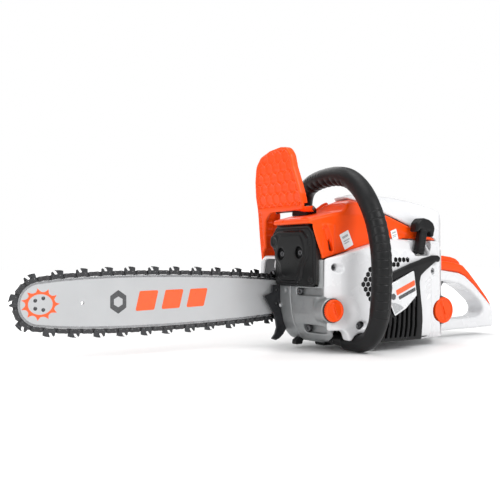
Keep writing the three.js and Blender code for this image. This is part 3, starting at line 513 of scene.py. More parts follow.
ORANGE = (0.9, 0.072, 0.002)
M = {
    "orange": surface("orange_nylon", ORANGE, 0.33, spec=0.24, tone=0.05, tone_size=0.05, grain=0.0009, bump=0.25, rough_var=0.06, edge_wear_and_highlight=(1.0, 0.2, 0.03), edge_wear_and_highlight_amount=0.35),
    "white": surface("white_nylon", (0.73, 0.735, 0.75), 0.27, coat=0.2, coat_rough=0.1, tone=0.03, tone_size=0.06, grain=0.0009, bump=0.2, rough_var=0.06, dirt=(0.6, 0.6, 0.6), dirt_amount=0.08),
    "cover_white": surface("white_clutch_cover", (0.7, 0.7, 0.71), 0.33, coat=0.2, coat_rough=0.15, tone=0.03, tone_size=0.05, grain=0.0008, bump=0.25, rough_var=0.08, dirt=(0.45, 0.45, 0.45), dirt_amount=0.12),
    "black": surface("black_nylon", (0.0085, 0.0087, 0.0093), 0.38, spec=0.2, tone=0.15, tone_size=0.03, grain=0.0007, bump=0.5, rough_var=0.09, edge_wear_and_highlight=(0.05, 0.05, 0.053), edge_wear_and_highlight_amount=0.4),
    "grille": surface("black_grille_nylon", (0.009, 0.0092, 0.0098), 0.34, spec=0.22, tone=0.12, tone_size=0.03, grain=0.0007, bump=0.4, rough_var=0.08, edge_wear_and_highlight=(0.1, 0.1, 0.105), edge_wear_and_highlight_amount=0.5),
    "rubber": surface("grip_rubber", (0.0105, 0.0108, 0.0115), 0.42, spec=0.2, tone=0.15, tone_size=0.02, grain=0.0006, bump=0.6, rough_var=0.08, edge_wear_and_highlight=(0.05, 0.051, 0.053), edge_wear_and_highlight_amount=0.35),
    "tube": surface("black_coated_tube", (0.011, 0.011, 0.012), 0.3, spec=0.3, coat=0.2, coat_rough=0.15, tone=0.1, tone_size=0.02, grain=0.0008, bump=0.2),
    "silencer": surface("heatproof_black", (0.0065, 0.0067, 0.0072), 0.36, spec=0.24, tone=0.2, tone_size=0.025, grain=0.0006, bump=0.7, grain_depth=0.00006, rough_var=0.1, edge_wear_and_highlight=(0.06, 0.06, 0.064), edge_wear_and_highlight_amount=0.4),
    # the casting's lighter convex edges are a painted edge highlight
    "casting": surface("die_casting", (0.29, 0.3, 0.305), 0.42, metal=0.55, tone=0.08, tone_size=0.02, grain=0.0007, bump=0.8, grain_depth=0.00009, rough_var=0.1, dirt=(0.17, 0.175, 0.18), dirt_amount=0.3, edge_wear_and_highlight=(0.5, 0.51, 0.52), edge_wear_and_highlight_amount=0.6),
    "aluminium": surface("raw_aluminium", (0.52, 0.53, 0.54), 0.4, metal=0.9, tone=0.08, tone_size=0.015, grain=0.0006, bump=0.5, grain_depth=0.00006, dirt=(0.3, 0.3, 0.3), dirt_amount=0.3),
    "steel": surface("plated_steel", (0.5, 0.51, 0.52), 0.3, metal=1.0, tone=0.06, tone_size=0.01, grain=0.0004, bump=0.3, dirt=(0.28, 0.27, 0.25), dirt_amount=0.3),
    "dark_steel": surface("blackened_steel", (0.055, 0.056, 0.06), 0.36, metal=0.85, tone=0.15, tone_size=0.01, grain=0.0004, bump=0.4, edge_wear_and_highlight=(0.25, 0.25, 0.26), edge_wear_and_highlight_amount=0.6),
    "sheet": surface("silencer_sheet", (0.05, 0.05, 0.05), 0.5, metal=0.6, tone=0.2, tone_size=0.02, grain=0.0005, bump=0.4, dirt=(0.09, 0.06, 0.04), dirt_amount=0.4),
    "chain": surface("oiled_chain_steel", (0.028, 0.028, 0.03), 0.32, metal=0.9, tone=0.25, tone_size=0.006, grain=0.0003, bump=0.3, rough_var=0.12, dirt=(0.012, 0.0115, 0.011), dirt_amount=0.7, edge_wear_and_highlight=(0.16, 0.16, 0.165), edge_wear_and_highlight_amount=0.5),
    "cutter": surface("chromed_cutter_steel", (0.075, 0.077, 0.081), 0.26, metal=1.0, tone=0.15, tone_size=0.006, grain=0.0003, bump=0.3, rough_var=0.1, dirt=(0.04, 0.038, 0.036), dirt_amount=0.6),
    "bar": surface("bar_lacquer", (0.52, 0.53, 0.54), 0.34, metal=0.35, coat=0.2, coat_rough=0.15, tone=0.03, tone_size=0.05, grain=0.0005, bump=0.12, rough_var=0.06, dirt=(0.45, 0.45, 0.45), dirt_amount=0.15, scratch=2.0),
    "rail": surface("bar_rail_steel", (0.33, 0.335, 0.345), 0.28, metal=1.0, tone=0.1, tone_size=0.01, grain=0.0004, bump=0.3, dirt=(0.12, 0.11, 0.1), dirt_amount=0.5, scratch=2.0),
    "felt": surface("filter_felt", (0.1, 0.1, 0.1), 0.9, tone=0.3, tone_size=0.004, grain=0.0006, bump=1.0, grain_depth=0.0003, sheen=0.4),
    "badge": surface("badge_film", (0.72, 0.73, 0.74), 0.24, metal=0.3, coat=0.4, coat_rough=0.06, tone=0.06, tone_size=0.02, grain=0.0004, bump=0.1, scratch=1.0),
    "badge_dark": surface("badge_print_dark", (0.05, 0.052, 0.056), 0.25, coat=0.4, coat_rough=0.06, tone=0.12, tone_size=0.01, grain=0.0004, bump=0.1),
    "badge_grey": surface("badge_print_grey", (0.4, 0.41, 0.42), 0.25, metal=0.3, coat=0.4, coat_rough=0.06, tone=0.08, tone_size=0.01, grain=0.0004, bump=0.1),
    "print": surface("orange_print", (0.85, 0.1, 0.01), 0.35, coat=0.3, tone=0.08, tone_size=0.006, grain=0.0004, bump=0.1),
    "label": surface("blank_label", (0.84, 0.845, 0.85), 0.3, coat=0.3, coat_rough=0.1, tone=0.02, tone_size=0.01, grain=0.0005, bump=0.1),
    "label_grey": surface("label_grey_print", (0.42, 0.43, 0.45), 0.3, coat=0.3, coat_rough=0.1, tone=0.1, tone_size=0.004, grain=0.0005, bump=0.1),
    # flat black that paints the shade inside openings
    "painted_shade_black": surface("shadowed_black", (0.006, 0.006, 0.0065), 0.7, tone=0.2, tone_size=0.02, grain=0.0006, bump=0.4),
}


def braid(name, color):
    mt = surface(name, color, 0.75, tone=0.1, tone_size=0.004, grain=0.0005, bump=0.6, sheen=0.3)
    n, l = mt.node_tree.nodes, mt.node_tree.links
    tc = n.new("ShaderNodeTexCoord")
    mp = n.new("ShaderNodeMapping")
    mp.inputs["Rotation"].default_value = (0, math.radians(45), 0)
    w = n.new("ShaderNodeTexWave")
    w.inputs["Scale"].default_value = 500
    w.inputs["Distortion"].default_value = 1.0
    l.new(tc.outputs["Object"], mp.inputs["Vector"])
    l.new(mp.outputs["Vector"], w.inputs["Vector"])
    bp = n.new("ShaderNodeBump")
    bp.inputs["Strength"].default_value = 0.6
    bp.inputs["Distance"].default_value = 0.0003
    l.new(w.outputs["Fac"], bp.inputs["Height"])
    b = n["Principled BSDF"]
    old = b.inputs["Normal"].links[0].from_socket
    l.new(old, bp.inputs["Normal"])
    l.new(bp.outputs["Normal"], b.inputs["Normal"])
    return mt


M["rope"] = braid("braided_cord", (0.66, 0.65, 0.6))

# carried-over CAD nodes
KEEP = {
    "oil_pump": "aluminium", "cylinder": "aluminium", "piston": "aluminium", "carburettor": "aluminium", "flywheel": "aluminium", "chain_catcher": "aluminium",
    "connecting_rod": "steel", "crankshaft_flywheel_side": "steel", "crankshaft_clutch_side": "steel", "spark_plug": "steel", "starter_pulley_pin": "steel",
    "clutch_shoes": "dark_steel", "clutch_drum": "dark_steel", "nose_sprocket": "dark_steel", "silencer": "sheet", "starter_pulley": "black", "ignition_coil": "black",
    "spark_plug_boot": "rubber", "intake_boot": "rubber", "air_filter": "felt", "oil_cap_seal": "rubber", "fuel_cap_seal": "rubber",
}
for node, key in KEEP.items():
    ob = NODES[node]
    ob.data.materials.clear()
    ob.data.materials.append(M[key])

# ---------------------------------------------------------------- driving numbers, as in the frame
CRANK = (90.0, 78.0)
OIL = (13.0, 59.0, 15.8, -79.5)
FUEL = (232.5, 51.5, 20.0, -72.0)
GPX, GPZ = 30.0, 202.5
PULL = np.array([0.218, 0, 0.976]) / math.hypot(0.218, 0.976)
PULL_AT = np.array([177.0, -80.0, 136.0])
HANDLE = [[73, 64, 149.6], [73, 64.5, 168], [73, 65, 190], [72.5, 64, 213], [71.5, 57, 232], [70, 40, 243.5], [67, 10, 249.5], [64, -28, 250.5], [61, -62, 243], [58.5, -92, 221.5], [57, -114, 189.5], [56, -126.5, 155], [56, -131, 120], [56, -130, 80], [57, -124, 50], [58, -110, 26], [58, -91, 14.8], [56, -66, 14.1], [54, -42, 16], [52, -20, 19]]
LINE, LINE_LEN = catmull(HANDLE, 601)


def channel(f):
    """The groove in the underside that the front handle's lower end lies in."""
    a = None
    for i in range(456, 570, 12):
        c = f.capsule(LINE[i] - (0, 0, 3.0), LINE[min(i + 12, 570)] - (0, 0, 3.0), 15.0)
        a = c if a is None else np.minimum(a, c)
    a = np.minimum(a, f.box(45.4, -100, -5, 68.6, -31, 16))
    return np.minimum(a, f.box(43.2, -31, -5, 65.2, -18.5, 17))


# ---------------------------------------------------------------- starter housing
f = Field((2, -96, 9), (214, -34, 164), 1.0)
HOUSING_SIDE = rounded([[5, 129.5], [4.2, 88], [5, 76], [9.6, 52], [9.6, 31], [30, 31], [35.5, 26], [39, 17.5], [46, 13.4], [64, 12.5], [110, 10], [196.5, 10], [196.5, 157], [130, 160], [94, 152]], [2, 4, 8, 8, 2, 4, 5, 4, 5, 3, 2, 2, 2, 4, 4])
HOUSING_PLAN = rounded([[4, -69.3], [5, -72], [12, -77.5], [26, -82.5], [50, -86.5], [80, -90], [110, -91], [150, -90.5], [180, -89.2], [196.5, -87.9], [214, -86.6], [214, -34.3], [50.4, -34.3], [50.4, -69.3]], [0, 6, 12, 12, 20, 20, 20, 20, 12, 12, 0, 0, 0, 0])
HOUSING_FRONT = rounded([[-34, 5], [-60, 5], [-80, 10], [-91, 22], [-95, 60], [-95, 112], [-91, 132], [-84, 144], [-72, 158], [-64, 163], [-34, 163]], [0, 0, 8, 16, 24, 24, 16, 14, 10, 2, 0])
body = rmax(rmax(f.prism("y", HOUSING_SIDE, -96, -34.3), f.outline("z", HOUSING_PLAN), 3.0), f.outline("x", HOUSING_FRONT), 3.0)
# a thin lip at the rear laps over the tank's shoulder
lap = rmax(f.prism("y", rounded([[186, 92], [197, 98], [205, 105], [210.5, 114], [211, 146], [206, 153], [186, 154]], [0, 5, 8, 8, 8, 6, 0]), -92, -85.2), f.outline("z", HOUSING_PLAN), 1.0)
body = np.minimum(body, lap)
inner = np.maximum(np.maximum(f.prism("y", rounded([[57, 17], [57, 120], [62, 138], [96, 147], [130, 155], [191, 152], [191, 14], [100, 14]], 4), -84.0, -30), f.outline("x", [(-30, 12), (-30, 155), (-64, 155), (-80, 136), (-84, 120), (-84, 12)])),
                   -f.box(158, -100, 130.5, 196, -67.5, 170))
body = np.maximum(body, -inner)
body = np.maximum(body, -f.rod("y", 44.8, -64, -34, *CRANK))
body = np.maximum(body, -channel(f))


def skin_of(body, f):
    """How far out the wall reaches: its y for each x and z."""
    neg = body < 0
    first = np.clip(neg.argmax(axis=1), 1, None)
    ix, iz = np.indices(first.shape)
    b0, b1 = body[ix, first - 1, iz], body[ix, first, iz]
    return f.ax[1][first - 1] + np.clip(b0 / np.where(b0 - b1 == 0, 1, b0 - b1), 0, 1) * f.h


SKIN = skin_of(body, f)
SKIN_AX = (f.ax[0], f.ax[2])


def skin_y(x, z):
    u = np.clip((np.asarray(x, float) - SKIN_AX[0][0]) / f_h, 0, len(SKIN_AX[0]) - 1.001)
    v = np.clip((np.asarray(z, float) - SKIN_AX[1][0]) / f_h, 0, len(SKIN_AX[1]) - 1.001)
    i, k = u.astype(int), v.astype(int)
    u, v = u - i, v - k
    return SKIN[i, k] * (1 - u) * (1 - v) + SKIN[i + 1, k] * u * (1 - v) + SKIN[i, k + 1] * (1 - u) * v + SKIN[i + 1, k + 1] * u * v


f_h = f.h
# the wall is scooped towards the oil filler, with a crease along the scoop's upper edge
scoop = np.maximum(f.ball((15, -88.5, 57), (37, 12.0, 25)), (f.z - 79.5) - (f.x - 20) * 0.05)
body = rmax(body, -scoop, 2.2)
# screw wells: a drilled hole at the foot of a soft dish
for (sx, sz, depth, dish, lean_x, surf_y) in ((18.5, 118, -71.0, 7.6, 4.6, -79.6), (55.5, 36.5, -82.0, 8.6, 3.6, -87.4), (199.3, 111.3, -85.6, 3.6, 0.0, -87.6)):
    body = np.maximum(body, -f.rod("y", 5.2 if dish > 6 else 2.6, -96, depth, sx, sz, 0.6))
    body = rmax(body, -f.ball((sx + lean_x, surf_y - 2.2, sz - 0.4 * lean_x if sx < 40 else sz + 0.5 * lean_x), (dish, 5.6, dish * (0.72 if dish > 6 else 1.5))), 1.6)
# the filler boss of the crankcase comes through a round notch in the edge
body = np.maximum(body, -np.maximum(f.rod("y", 18.8, -100, -50, OIL[0], OIL[1], 0.5), f.x - 8.6))
body = np.maximum(body, -f.rod("y", OIL[2] + 1.0, -100, OIL[3] + 2.2, OIL[0], OIL[1], 0.5))
body = np.maximum(body, -f.rod("y", 14, -100, -60, OIL[0], OIL[1]))
# air intake behind the grille, and the window of the honeycomb
body = np.maximum(body, -f.prism("y", [[74, 60], [88, 100], [118, 116], [150, 122], [152, 60], [150, 24], [90, 24], [78, 40]], -100, -80))
HONEY = rounded([[73, 63.5], [62.5, 76], [57, 89], [57.5, 104], [63.5, 116], [79, 122.5], [98, 125], [112, 130], [127, 136], [145, 137], [158, 128], [150, 122], [118, 113], [96, 104], [84, 92], [80, 72]], 5)
body = np.maximum(body, -np.maximum(f.outline("y", HONEY) + 1.6, f.slab("y", -100, -80.5)))
# pocket for the starter grip: a scooped hollow in the top corner
body = np.maximum(body, -f.box(162, -100, 134, 191.5, -71, 170))
body = rmax(body, -f.ball((163, -88, 150), (10, 8.5, 11)), 2.5)
body = rmax(body, -f.ball((189, -89, 150), (6, 8, 14)), 2.0)
body = np.maximum(body, -f.rod("z", 3.4, 120, 140, PULL_AT[0] - 0.6, PULL_AT[1]))
# slanted vents at the rear corner
for k in range(4):
    cz = 75 + k * 7.6
    slit = f.capsule((187.0 - k * 0.3, -89.4, cz - 2.6), (193.0 - k * 0.3, -89.0, cz + 3.4), 2.6)
    body = rmax(body, -slit, 0.7)
housing = put(from_field("starter_cover", f, body, M["white"]), "root", "starter_housing")

# a black sheet of painted shade, seen through the honeycomb
back = extruded("honeycomb_painted_shade_sheet", rounded([[72, 65], [62.5, 78], [58, 90], [58.6, 103.5], [64.5, 114.6], [79.5, 120.6], [98, 123], [112, 128], [127, 134], [145, 134.5], [154, 127], [148, 121], [118, 111], [98, 102], [86, 90], [80, 72]], 4), "y", -83.4, -82.6, M["painted_shade_black"], bevel=0.1)
put(back, "root", ())


def hexagon(r, u, v, turn=0.0):
    return circle(r, 6, u, v, turn)


def inside(pts, u, v, margin=0.0):
    d = poly2(np.array([u], float), np.array([v], float), pts)[0, 0]
    return d < -margin


cells = []
pitch = 7.9
for i in range(-10, 20):
    for k in range(-10, 20):
        u = 58 + i * pitch + (k % 2) * pitch / 2
        v = 60 + k * pitch * 0.866
        if inside(HONEY, u, v, 4.2):
            cells.append(rounded(hexagon(4.18, u, v, math.pi / 6), 0.8, 3))
lattice = extruded("starter_cover_honeycomb", HONEY, "y", -0.4, 0.4, M["white"], bevel=0.1, holes=cells, segments=2)
# lay it on the bowed wall
co = np.empty(len(lattice.data.vertices) * 3)
lattice.data.vertices.foreach_get("co", co)
co = co.reshape(-1, 3)
dx = (co[:, 0] - OFF[0]) * 1000
dz = (co[:, 2] - OFF[2]) * 1000
co[:, 1] += (skin_y(dx, dz) + 0.3) * 0.001
lattice.data.vertices.foreach_set("co", co.reshape(-1))
put(lattice, "root", ())

# ---------------------------------------------------------------- starter grille and badge
f = Field((82, -98, 10), (212, -86, 137), 0.7)
GR = rounded([[96, 102], [104, 109.0], [147, 123.5], [172, 130], [194, 135], [206, 135], [210, 131], [206.5, 124.5], [199.5, 125.5], [189, 119.5], [175, 111.5], [166, 105], [163.5, 96], [166, 74], [168.8, 56], [169.5, 40], [167.0, 12.5], [88, 12.5], [84, 40], [87, 80]], [4, 3, 10, 12, 6, 3, 3, 3, 3, 8, 8, 6, 8, 10, 8, 8, 3, 3, 8, 8])
gr = f.prism("y", GR, -97, -91.6, 1.4)
bowl = f.prism("y", rounded([[103, 95], [108.5, 98.6], [151, 114.6], [157, 76], [134, 56.5], [112, 45.5], [100, 66]], 3), -99, -95.4)
gr = rmax(gr, -bowl, 0.5)
gr = np.maximum(gr, -f.prism("y", [[105, 94], [108.5, 96], [148, 111.5], [150, 76], [132, 63], [115, 54]], -95.41, -80))
# the band over the badge falls away to the housing at its tip
gr = np.minimum(gr, f.prism("y", rounded([[164, 108], [172, 130], [194, 135], [206, 135], [210, 131], [206.5, 124.5], [199.5, 125.5], [189, 119.5], [175, 111.5]], [0, 0, 6, 3, 3, 3, 3, 8, 0]), -97, -88.4, 1.2))
arm_mid = 118.5 + (f.x - 150) * 0.22 + np.maximum(f.x - 100, 0) * 0.0
gr = rmax(gr, (-f.y - 97.2) + np.maximum(f.x - 158, 0) * 0.075 + np.clip(f.z - arm_mid, 0, 14) * 0.28, 0.9)
for i in range(7):
    x = 98 + i * 9.3
    top = 42.5 + i * 6.3
    pts = rounded([[x - 4.2, 17.5], [x + 0.2, 17.5], [x + 3.4, 32], [x + 4.6, top - 9], [x + 4.2, top - 3], [x + 2.4, top], [x + 0.6, top - 4], [x - 0.2, top - 12], [x - 1.4, 34]], 1.0, 3)
    gr = rmax(gr, -f.prism("y", pts, -105, -80), 0.6)
put(from_field("starter_vent_frame", f, gr, M["grille"]), "root", "starter_grille")
# a black sheet of painted shade behind the vent slots
vent_shade_sheet = extruded("vent_painted_shade_sheet", rounded([[95, 16], [160, 16], [162, 40], [158, 80], [130, 62], [104, 50], [92, 44]], 3), "y", -90.4, -89.6, M["painted_shade_black"], bevel=0.1)
put(vent_shade_sheet, "root", ())

BADGE = rounded([[100, 92.5], [149.5, 113], [155, 77], [133, 58.5], [112, 48.5], [101, 70]], [2, 2.5, 3, 5, 2, 2], 5)
badge = extruded("badge", BADGE, "y", -98.3, -97.3, M["badge"], bevel=0.3)
put(badge, "root", "badge_plate")
for nm, key, pts in (
    ("badge_band_orange", "print", [[113.5, 85.0], [150.6, 99.4], [151.4, 91.6], [115.6, 77.6]]),
    ("badge_band_dark", "badge_dark", [[118.4, 76.0], [151.8, 89.0], [152.3, 83.6], [120.4, 71.4]]),
    ("badge_foot", "badge_grey", [[104.4, 67.5], [112.6, 51.4], [129.5, 59.6], [122, 64.4], [112, 67.2]]),
    ("badge_mark", "badge_dark", circle(5.0, 6, 109.0, 76.0, 0.3)),
):
    ob = extruded(nm, rounded(pts, 1.0, 3), "y", -98.46, -98.2, M[key], bevel=0.08, segments=1)
    put(ob, "root", ())


# ---------------------------------------------------------------- screws
def torx(name, x, y, z, axis, r, height, depth, body="root", node=(), material="dark_steel", cap_h=0.35):
    """A pan-headed screw with a six-lobed recess, its top at the given place, facing -axis."""
    n = 72
    rings = []
    sgn = -1.0
    lobes = lambda t: 0.5 * r * (1 + 0.16 * math.cos(6 * t))
    prof = [(1.0, depth, False), (1.0, height * cap_h, False), (0.93, height * 0.12, False), (0.8, 0.0, False), ("in", 0.0, True), ("in", height * 0.75, True), ("floor", height * 0.8, True)]
    verts, faces = [], []
    for q in prof:
        for i in range(n):
            t = 2 * math.pi * i / n
            if q[0] == "in":
                rad = lobes(t)
            elif q[0] == "floor":
                rad = lobes(t) * 0.6
            else:
                rad = r * q[0]
            u, v, w = rad * math.cos(t), rad * math.sin(t), q[1]
            verts.append({"y": (x + u, y + w, z + v), "x": (x + w, y + u, z + v)}[axis])
    k = len(prof)
    for j in range(k - 1):
        for i in range(n):
            a, b = j * n + i, j * n + (i + 1) % n
            faces.append([a, b, b + n, a + n])
    for j in (0, k - 1):
        ids = [j * n + i for i in range(n)]
        c = len(verts)
        verts.append(tuple(np.mean([verts[i] for i in ids], axis=0)))
        for i in range(n):
            faces.append([ids[i], ids[(i + 1) % n], c])
    ob = new_mesh(name, verts, faces, M[material])
    bm = bmesh.new()
    bm.from_mesh(ob.data)
    bmesh.ops.recalc_face_normals(bm, faces=bm.faces)
    bm.to_mesh(ob.data)
    bm.free()
    return put(ob, body, node)


torx("screw_housing_front", 18.5, -73.4, 118, "y", 4.6, 2.2, 2.6, node="starter_screw_front")
torx("screw_housing_lower", 55.5, -83.6, 36.5, "y", 4.6, 2.2, 2.6, node="starter_screw_lower")
torx("screw_housing_rear", 199.3, -86.0, 111.3, "y", 2.4, 1.0, 1.2)
torx("screw_silencer_right", -7.6, 10, 137, "x", 4.3, 3.0, 5.6, node="silencer_screw_right")
torx("screw_silencer_left", -7.6, -33, 138.5, "x", 4.3, 3.0, 5.6, node="silencer_screw_left")
torx("screw_crankcase_upper", 1.2, -20.5, 83.8, "x", 4.7, 2.6, 5.0, node="crankcase_screw_upper")
torx("screw_crankcase_lower", 12.2, -25, 31.0, "x", 4.7, 2.8, 5.0, node="crankcase_screw_lower")


# ---------------------------------------------------------------- filler caps
def cap(name, at, nodes):
    cx, cz, r, cy = at
    f = Field((cx - r - 0.5, cy - 9, cz - r - 0.5), (cx + r + 0.5, cy + 10, cz + r + 0.5), 0.45)
    rad = np.sqrt((f.x - cx) ** 2 + (f.z - cz) ** 2)
    ang = np.arctan2(f.z - cz, f.x - cx)
    knurl = 0.42 * np.clip(np.cos(ang * 30) * 2.2, -1, 1)
    rim = rmax(rad - (r - 0.35 + knurl * np.clip((f.y - cy + 6.4) / 1.4, 0, 1)), f.slab("y", cy - 7.5, cy), 1.4)
    # the face is a shallow dish inside a rounded rim
    dish = rmax(rad - (r - 3.4), f.slab("y", cy - 12, cy - 6.0), 0.8)
    d = rmax(rim, -dish, 0.9)
    # a grip bar stands across the dish
    bar_ = rmax(rmax(np.abs((f.x - cx) * 0.94 + (f.z - cz) * 0.34) - 1.9, rad - (r - 4.2), 0.8), f.slab("y", cy - 7.4, cy - 4), 0.8)
    d = rmin(d, bar_, 1.2)
    notch = rmax(np.abs((f.x - cx) * 0.94 + (f.z - cz) * 0.34) - 0.95, np.maximum(rad - r * 0.36, f.slab("y", cy - 9, cy - 5.2)), 0.3)
    d = rmax(d, -notch, 0.3)
    d = rmin(d, f.rod("y", r - 5, cy - 0.5, cy + 9.6, cx, cz, 0.8), 0.6)
    ob = from_field(name, f, d, M["orange"])
    put(ob, nodes[0], nodes[0])


cap("cap_bar_oil", (OIL[0] - 0.6, OIL[1], OIL[2] - 0.3, OIL[3]), ("oil_cap",))
cap("cap_fuel", FUEL, ("fuel_cap",))
for nm, (cx, cz, r, cy), grow in (("oil_filler_gasket", OIL, 0.7), ("fuel_filler_gasket", FUEL, 1.2)):
    ob = lathe(nm, [(0, cy + 0.2), (r + grow - 0.5, cy + 0.2), (r + grow, cy - 0.3), (r + grow, cy - 1.6), (r + grow - 0.6, cy - 2.1), (r - 3, cy - 2.2), (0, cy - 2.2)], "y", (cx, 0, cz), M["rubber"], 64)
    put(ob, "root", ())

# ---------------------------------------------------------------- top cover
f = Field((-20, -72, 128), (228, 48, 218), 1.1)
TOP_SIDE = rounded([[-17, 181], [-15, 185.5], [45, 197.5], [60, 210], [72, 216], [123, 195], [225, 159.5], [225, 157.6], [197, 157.6], [130, 160.6], [94, 152.6], [5, 130.3], [-3, 148]], [2, 3, 10, 8, 6, 8, 0, 0, 2, 4, 4, 2, 6])
TOP_FRONT = rounded([[-70, 120], [-70, 150], [-67, 192], [-60, 210], [-45, 217], [-19, 216.5], [-6, 209.5], [8, 200.5], [30, 197], [40, 184], [44, 150], [44, 120]], [0, 10, 16, 12, 10, 10, 8, 8, 10, 12, 12, 0])
TOP_PLAN = rounded([[-20, -80], [-20, 19], [4, 24], [32, 38], [58, 46], [240, 46], [240, -80]], [0, 4, 8, 12, 10, 0, 0])
d = rmax(rmax(f.prism("y", TOP_SIDE, -74, 62), f.outline("x", TOP_FRONT), 3.5), f.outline("z", TOP_PLAN), 3.0)
TOP_INNER = rounded([[-2.5, 150], [-2.5, 179.5], [44, 192], [60, 205], [70, 211], [121, 191], [221, 156], [221, 100], [-2.5, 100]], 2)
inner = np.maximum(np.maximum(f.prism("y", TOP_INNER, -66.6, 54), f.outline("x", [(-66.6, 90), (-66.6, 150), (-63.5, 190), (-57, 206), (-44, 213), (-20, 212.5), (-8, 206), (6, 197), (27, 193), (36.5, 182), (40.4, 150), (40.4, 90)])), f.outline("z", [(-2.6, -70), (-2.6, 30), (60, 42), (230, 42), (230, -70)]))
d = np.maximum(d, -inner)
for b_ in ((-30, -66.6, 90, -2.4, 70, 178.4), (-30, 16, 90, 48, 70, 176), (44, 30, 90, 98, 70, 153)):
    d = rmax(d, -f.box(*b_), 0.8)
d = np.maximum(d, -np.maximum(f.prism("y", [[100, 140], [100, 230], [221, 230], [221, 140]], -62, 50), f.outline("x", [(-62, 130), (-62, 230), (38, 230), (38, 130)])))
# a raised ridge runs along the edge between side and top, and the side wall is dished below it
ridge_z = 187.0 + np.clip((f.x - 2) * 0.285, 0, 20.6)
ridge_z = np.where(f.x > 72, 207.6 - (f.x - 72) * 0.395, ridge_z)
d = rmax(d, -rmax(np.maximum(f.z - (ridge_z - 4.5), 5.0 - f.x), f.y + 68.3 + np.clip((f.z - 190) * 0.12, 0, 3), 2.0), 1.6)
# the lower edge stays sharp where it sits on the starter cover
d = np.minimum(d, f.prism("y", [[5.4, 129.7], [94, 151.9], [130, 159.9], [156, 158.8], [156, 165], [130, 166], [94, 158.6], [5.4, 136.5]], -68.3, -62.5, 0.25))
# finger slot in the front of the side wall
d = np.minimum(d, f.box(4, -69, 136, 27, -61.8, 178, 2.0))
slot_ = np.minimum(f.capsule((10.2, -69.8, 171), (14.6, -69.8, 157), 4.6), f.capsule((14.6, -69.8, 157), (19.2, -69.8, 143.5), 3.9))
d = rmax(d, -slot_, 1.2)
ramp_ = np.clip((f.x - 8.0 - (172 - f.z) * 0.3) / 8.5, 0, 1)
wedge_ = np.maximum(f.outline("y", rounded([[8, 176], [14.5, 175.5], [22, 156], [22.8, 141.5], [17, 141.0], [9, 160]], 1.5)), np.maximum(-74 - f.y, f.y + 68.9 - 3.4 * ramp_))
d = rmax(d, -wedge_, 0.4)
d = np.maximum(d, -f.prism("y", rounded([[16.8, 156.5], [18.8, 157.4], [23.9, 143.6], [23.2, 140.2], [19.6, 139.8]], [0.6, 0.6, 1, 1, 1]), -74, -62.9))
# front lip over the silencer carries a shallow step
d = rmax(d, -rmax(f.prism("y", [[-22, 186.2], [-22, 200], [40, 212], [40, 198.4]], -50, 6), f.slab("x", -12, 34), 1.0), 1.4)
put(from_field("cylinder_cover", f, d, M["orange"]), "root", "top_cover")
# the far crest stands up beside the filter cover
crest = extruded("cylinder_cover_crest", rounded([[40, 196.2], [52, 203.8], [64, 211.6], [71, 214.6], [75.4, 212.2], [66, 206], [50, 196.4]], [1, 4, 4, 3, 2, 3, 1]), "y", 4.4, 8.2, M["orange"], bevel=0.9, segments=3)
put(crest, "root", ())

# blank labels stand in for the printed ones
for nm, c, w_, h_, lean_ in (("label_front", (47.5, 156.5), 17.5, 23.0, -25), ("label_rear", (139.5, 165.0), 12.0, 15.5, -18)):
    a_ = math.radians(lean_)
    ca, sa = math.cos(a_), math.sin(a_)
    tr = lambda u, v: (c[0] + ca * u + sa * v, c[1] - sa * u + ca * v)
    pts = rounded([tr(-w_ / 2, -h_ / 2), tr(w_ / 2, -h_ / 2), tr(w_ / 2, h_ / 2), tr(-w_ / 2, h_ / 2)], 1.4, 4)
    ob = extruded(nm, pts, "y", -68.75, -68.35, M["label"], bevel=0.1, segments=1)
    put(ob, "root", ())
    # plain grey bars in place of the print
    for k, (u0, u1, v0, v1) in enumerate(((-0.34, 0.30, 0.16, 0.30), (-0.34, 0.34, -0.06, 0.02), (-0.34, 0.2, -0.2, -0.12))):
        q = [tr(u0 * w_, v0 * h_), tr(u1 * w_, v0 * h_), tr(u1 * w_, v1 * h_), tr(u0 * w_, v1 * h_)]
        ob = extruded(f"{nm}_bar_{k}", rounded(q, 0.3, 2), "y", -68.85, -68.7, M["label_grey"], bevel=0.04, segments=1)
        put(ob, "root", ())

# ---------------------------------------------------------------- filter cover
f = Field((64, -75, 144), (293, 50, 230), 1.15)
FS = rounded([[66, 214], [75, 222], [92, 228], [159, 225.5], [195, 219.5], [238, 208], [274, 191], [284, 174], [290, 146], [228.6, 146], [228.6, 157], [124, 197.4], [74, 218.6]], [2, 6, 16, 30, 30, 30, 16, 12, 3, 2, 2, 8, 3])
FF = rounded([[-69, 140], [-68, 160], [-63, 192], [-50, 214], [-32, 226.5], [-12, 224], [10, 212], [30, 200], [44, 186], [48, 160], [48, 140]], [0, 14, 20, 18, 14, 16, 18, 18, 14, 12, 0])
FP = rounded([[60, -72], [214, -72], [239, -63], [266, -41], [285, -20.5], [291.5, -6], [290, 12], [278, 30], [248, 44], [218, 50], [60, 50]], [0, 14, 16, 16, 12, 8, 10, 14, 14, 12, 0])
d = rmax(rmax(f.prism("y", FS, -74, 62), f.outline("x", FF), 5.0), f.outline("z", FP), 4.0)
inner = np.maximum(np.maximum(f.prism("y", rounded([[92, 140], [92, 223.5], [158, 221.5], [194, 215.5], [237, 204], [271, 188], [280, 173], [285.6, 140]], 3), -66, 54), f.outline("x", [(-65, 130), (-64, 160), (-59.5, 190), (-47.5, 211), (-31, 222.5), (-13, 220), (8, 208.5), (27, 197), (40, 184), (44, 160), (44, 130)])), f.outline("z", [(60, -68), (213, -68), (237, -59.5), (263, -38.5), (281.5, -18.5), (287.5, -5), (286, 10.5), (275, 27), (246, 40), (217, 46), (60, 46)]))
d = np.maximum(d, -inner)
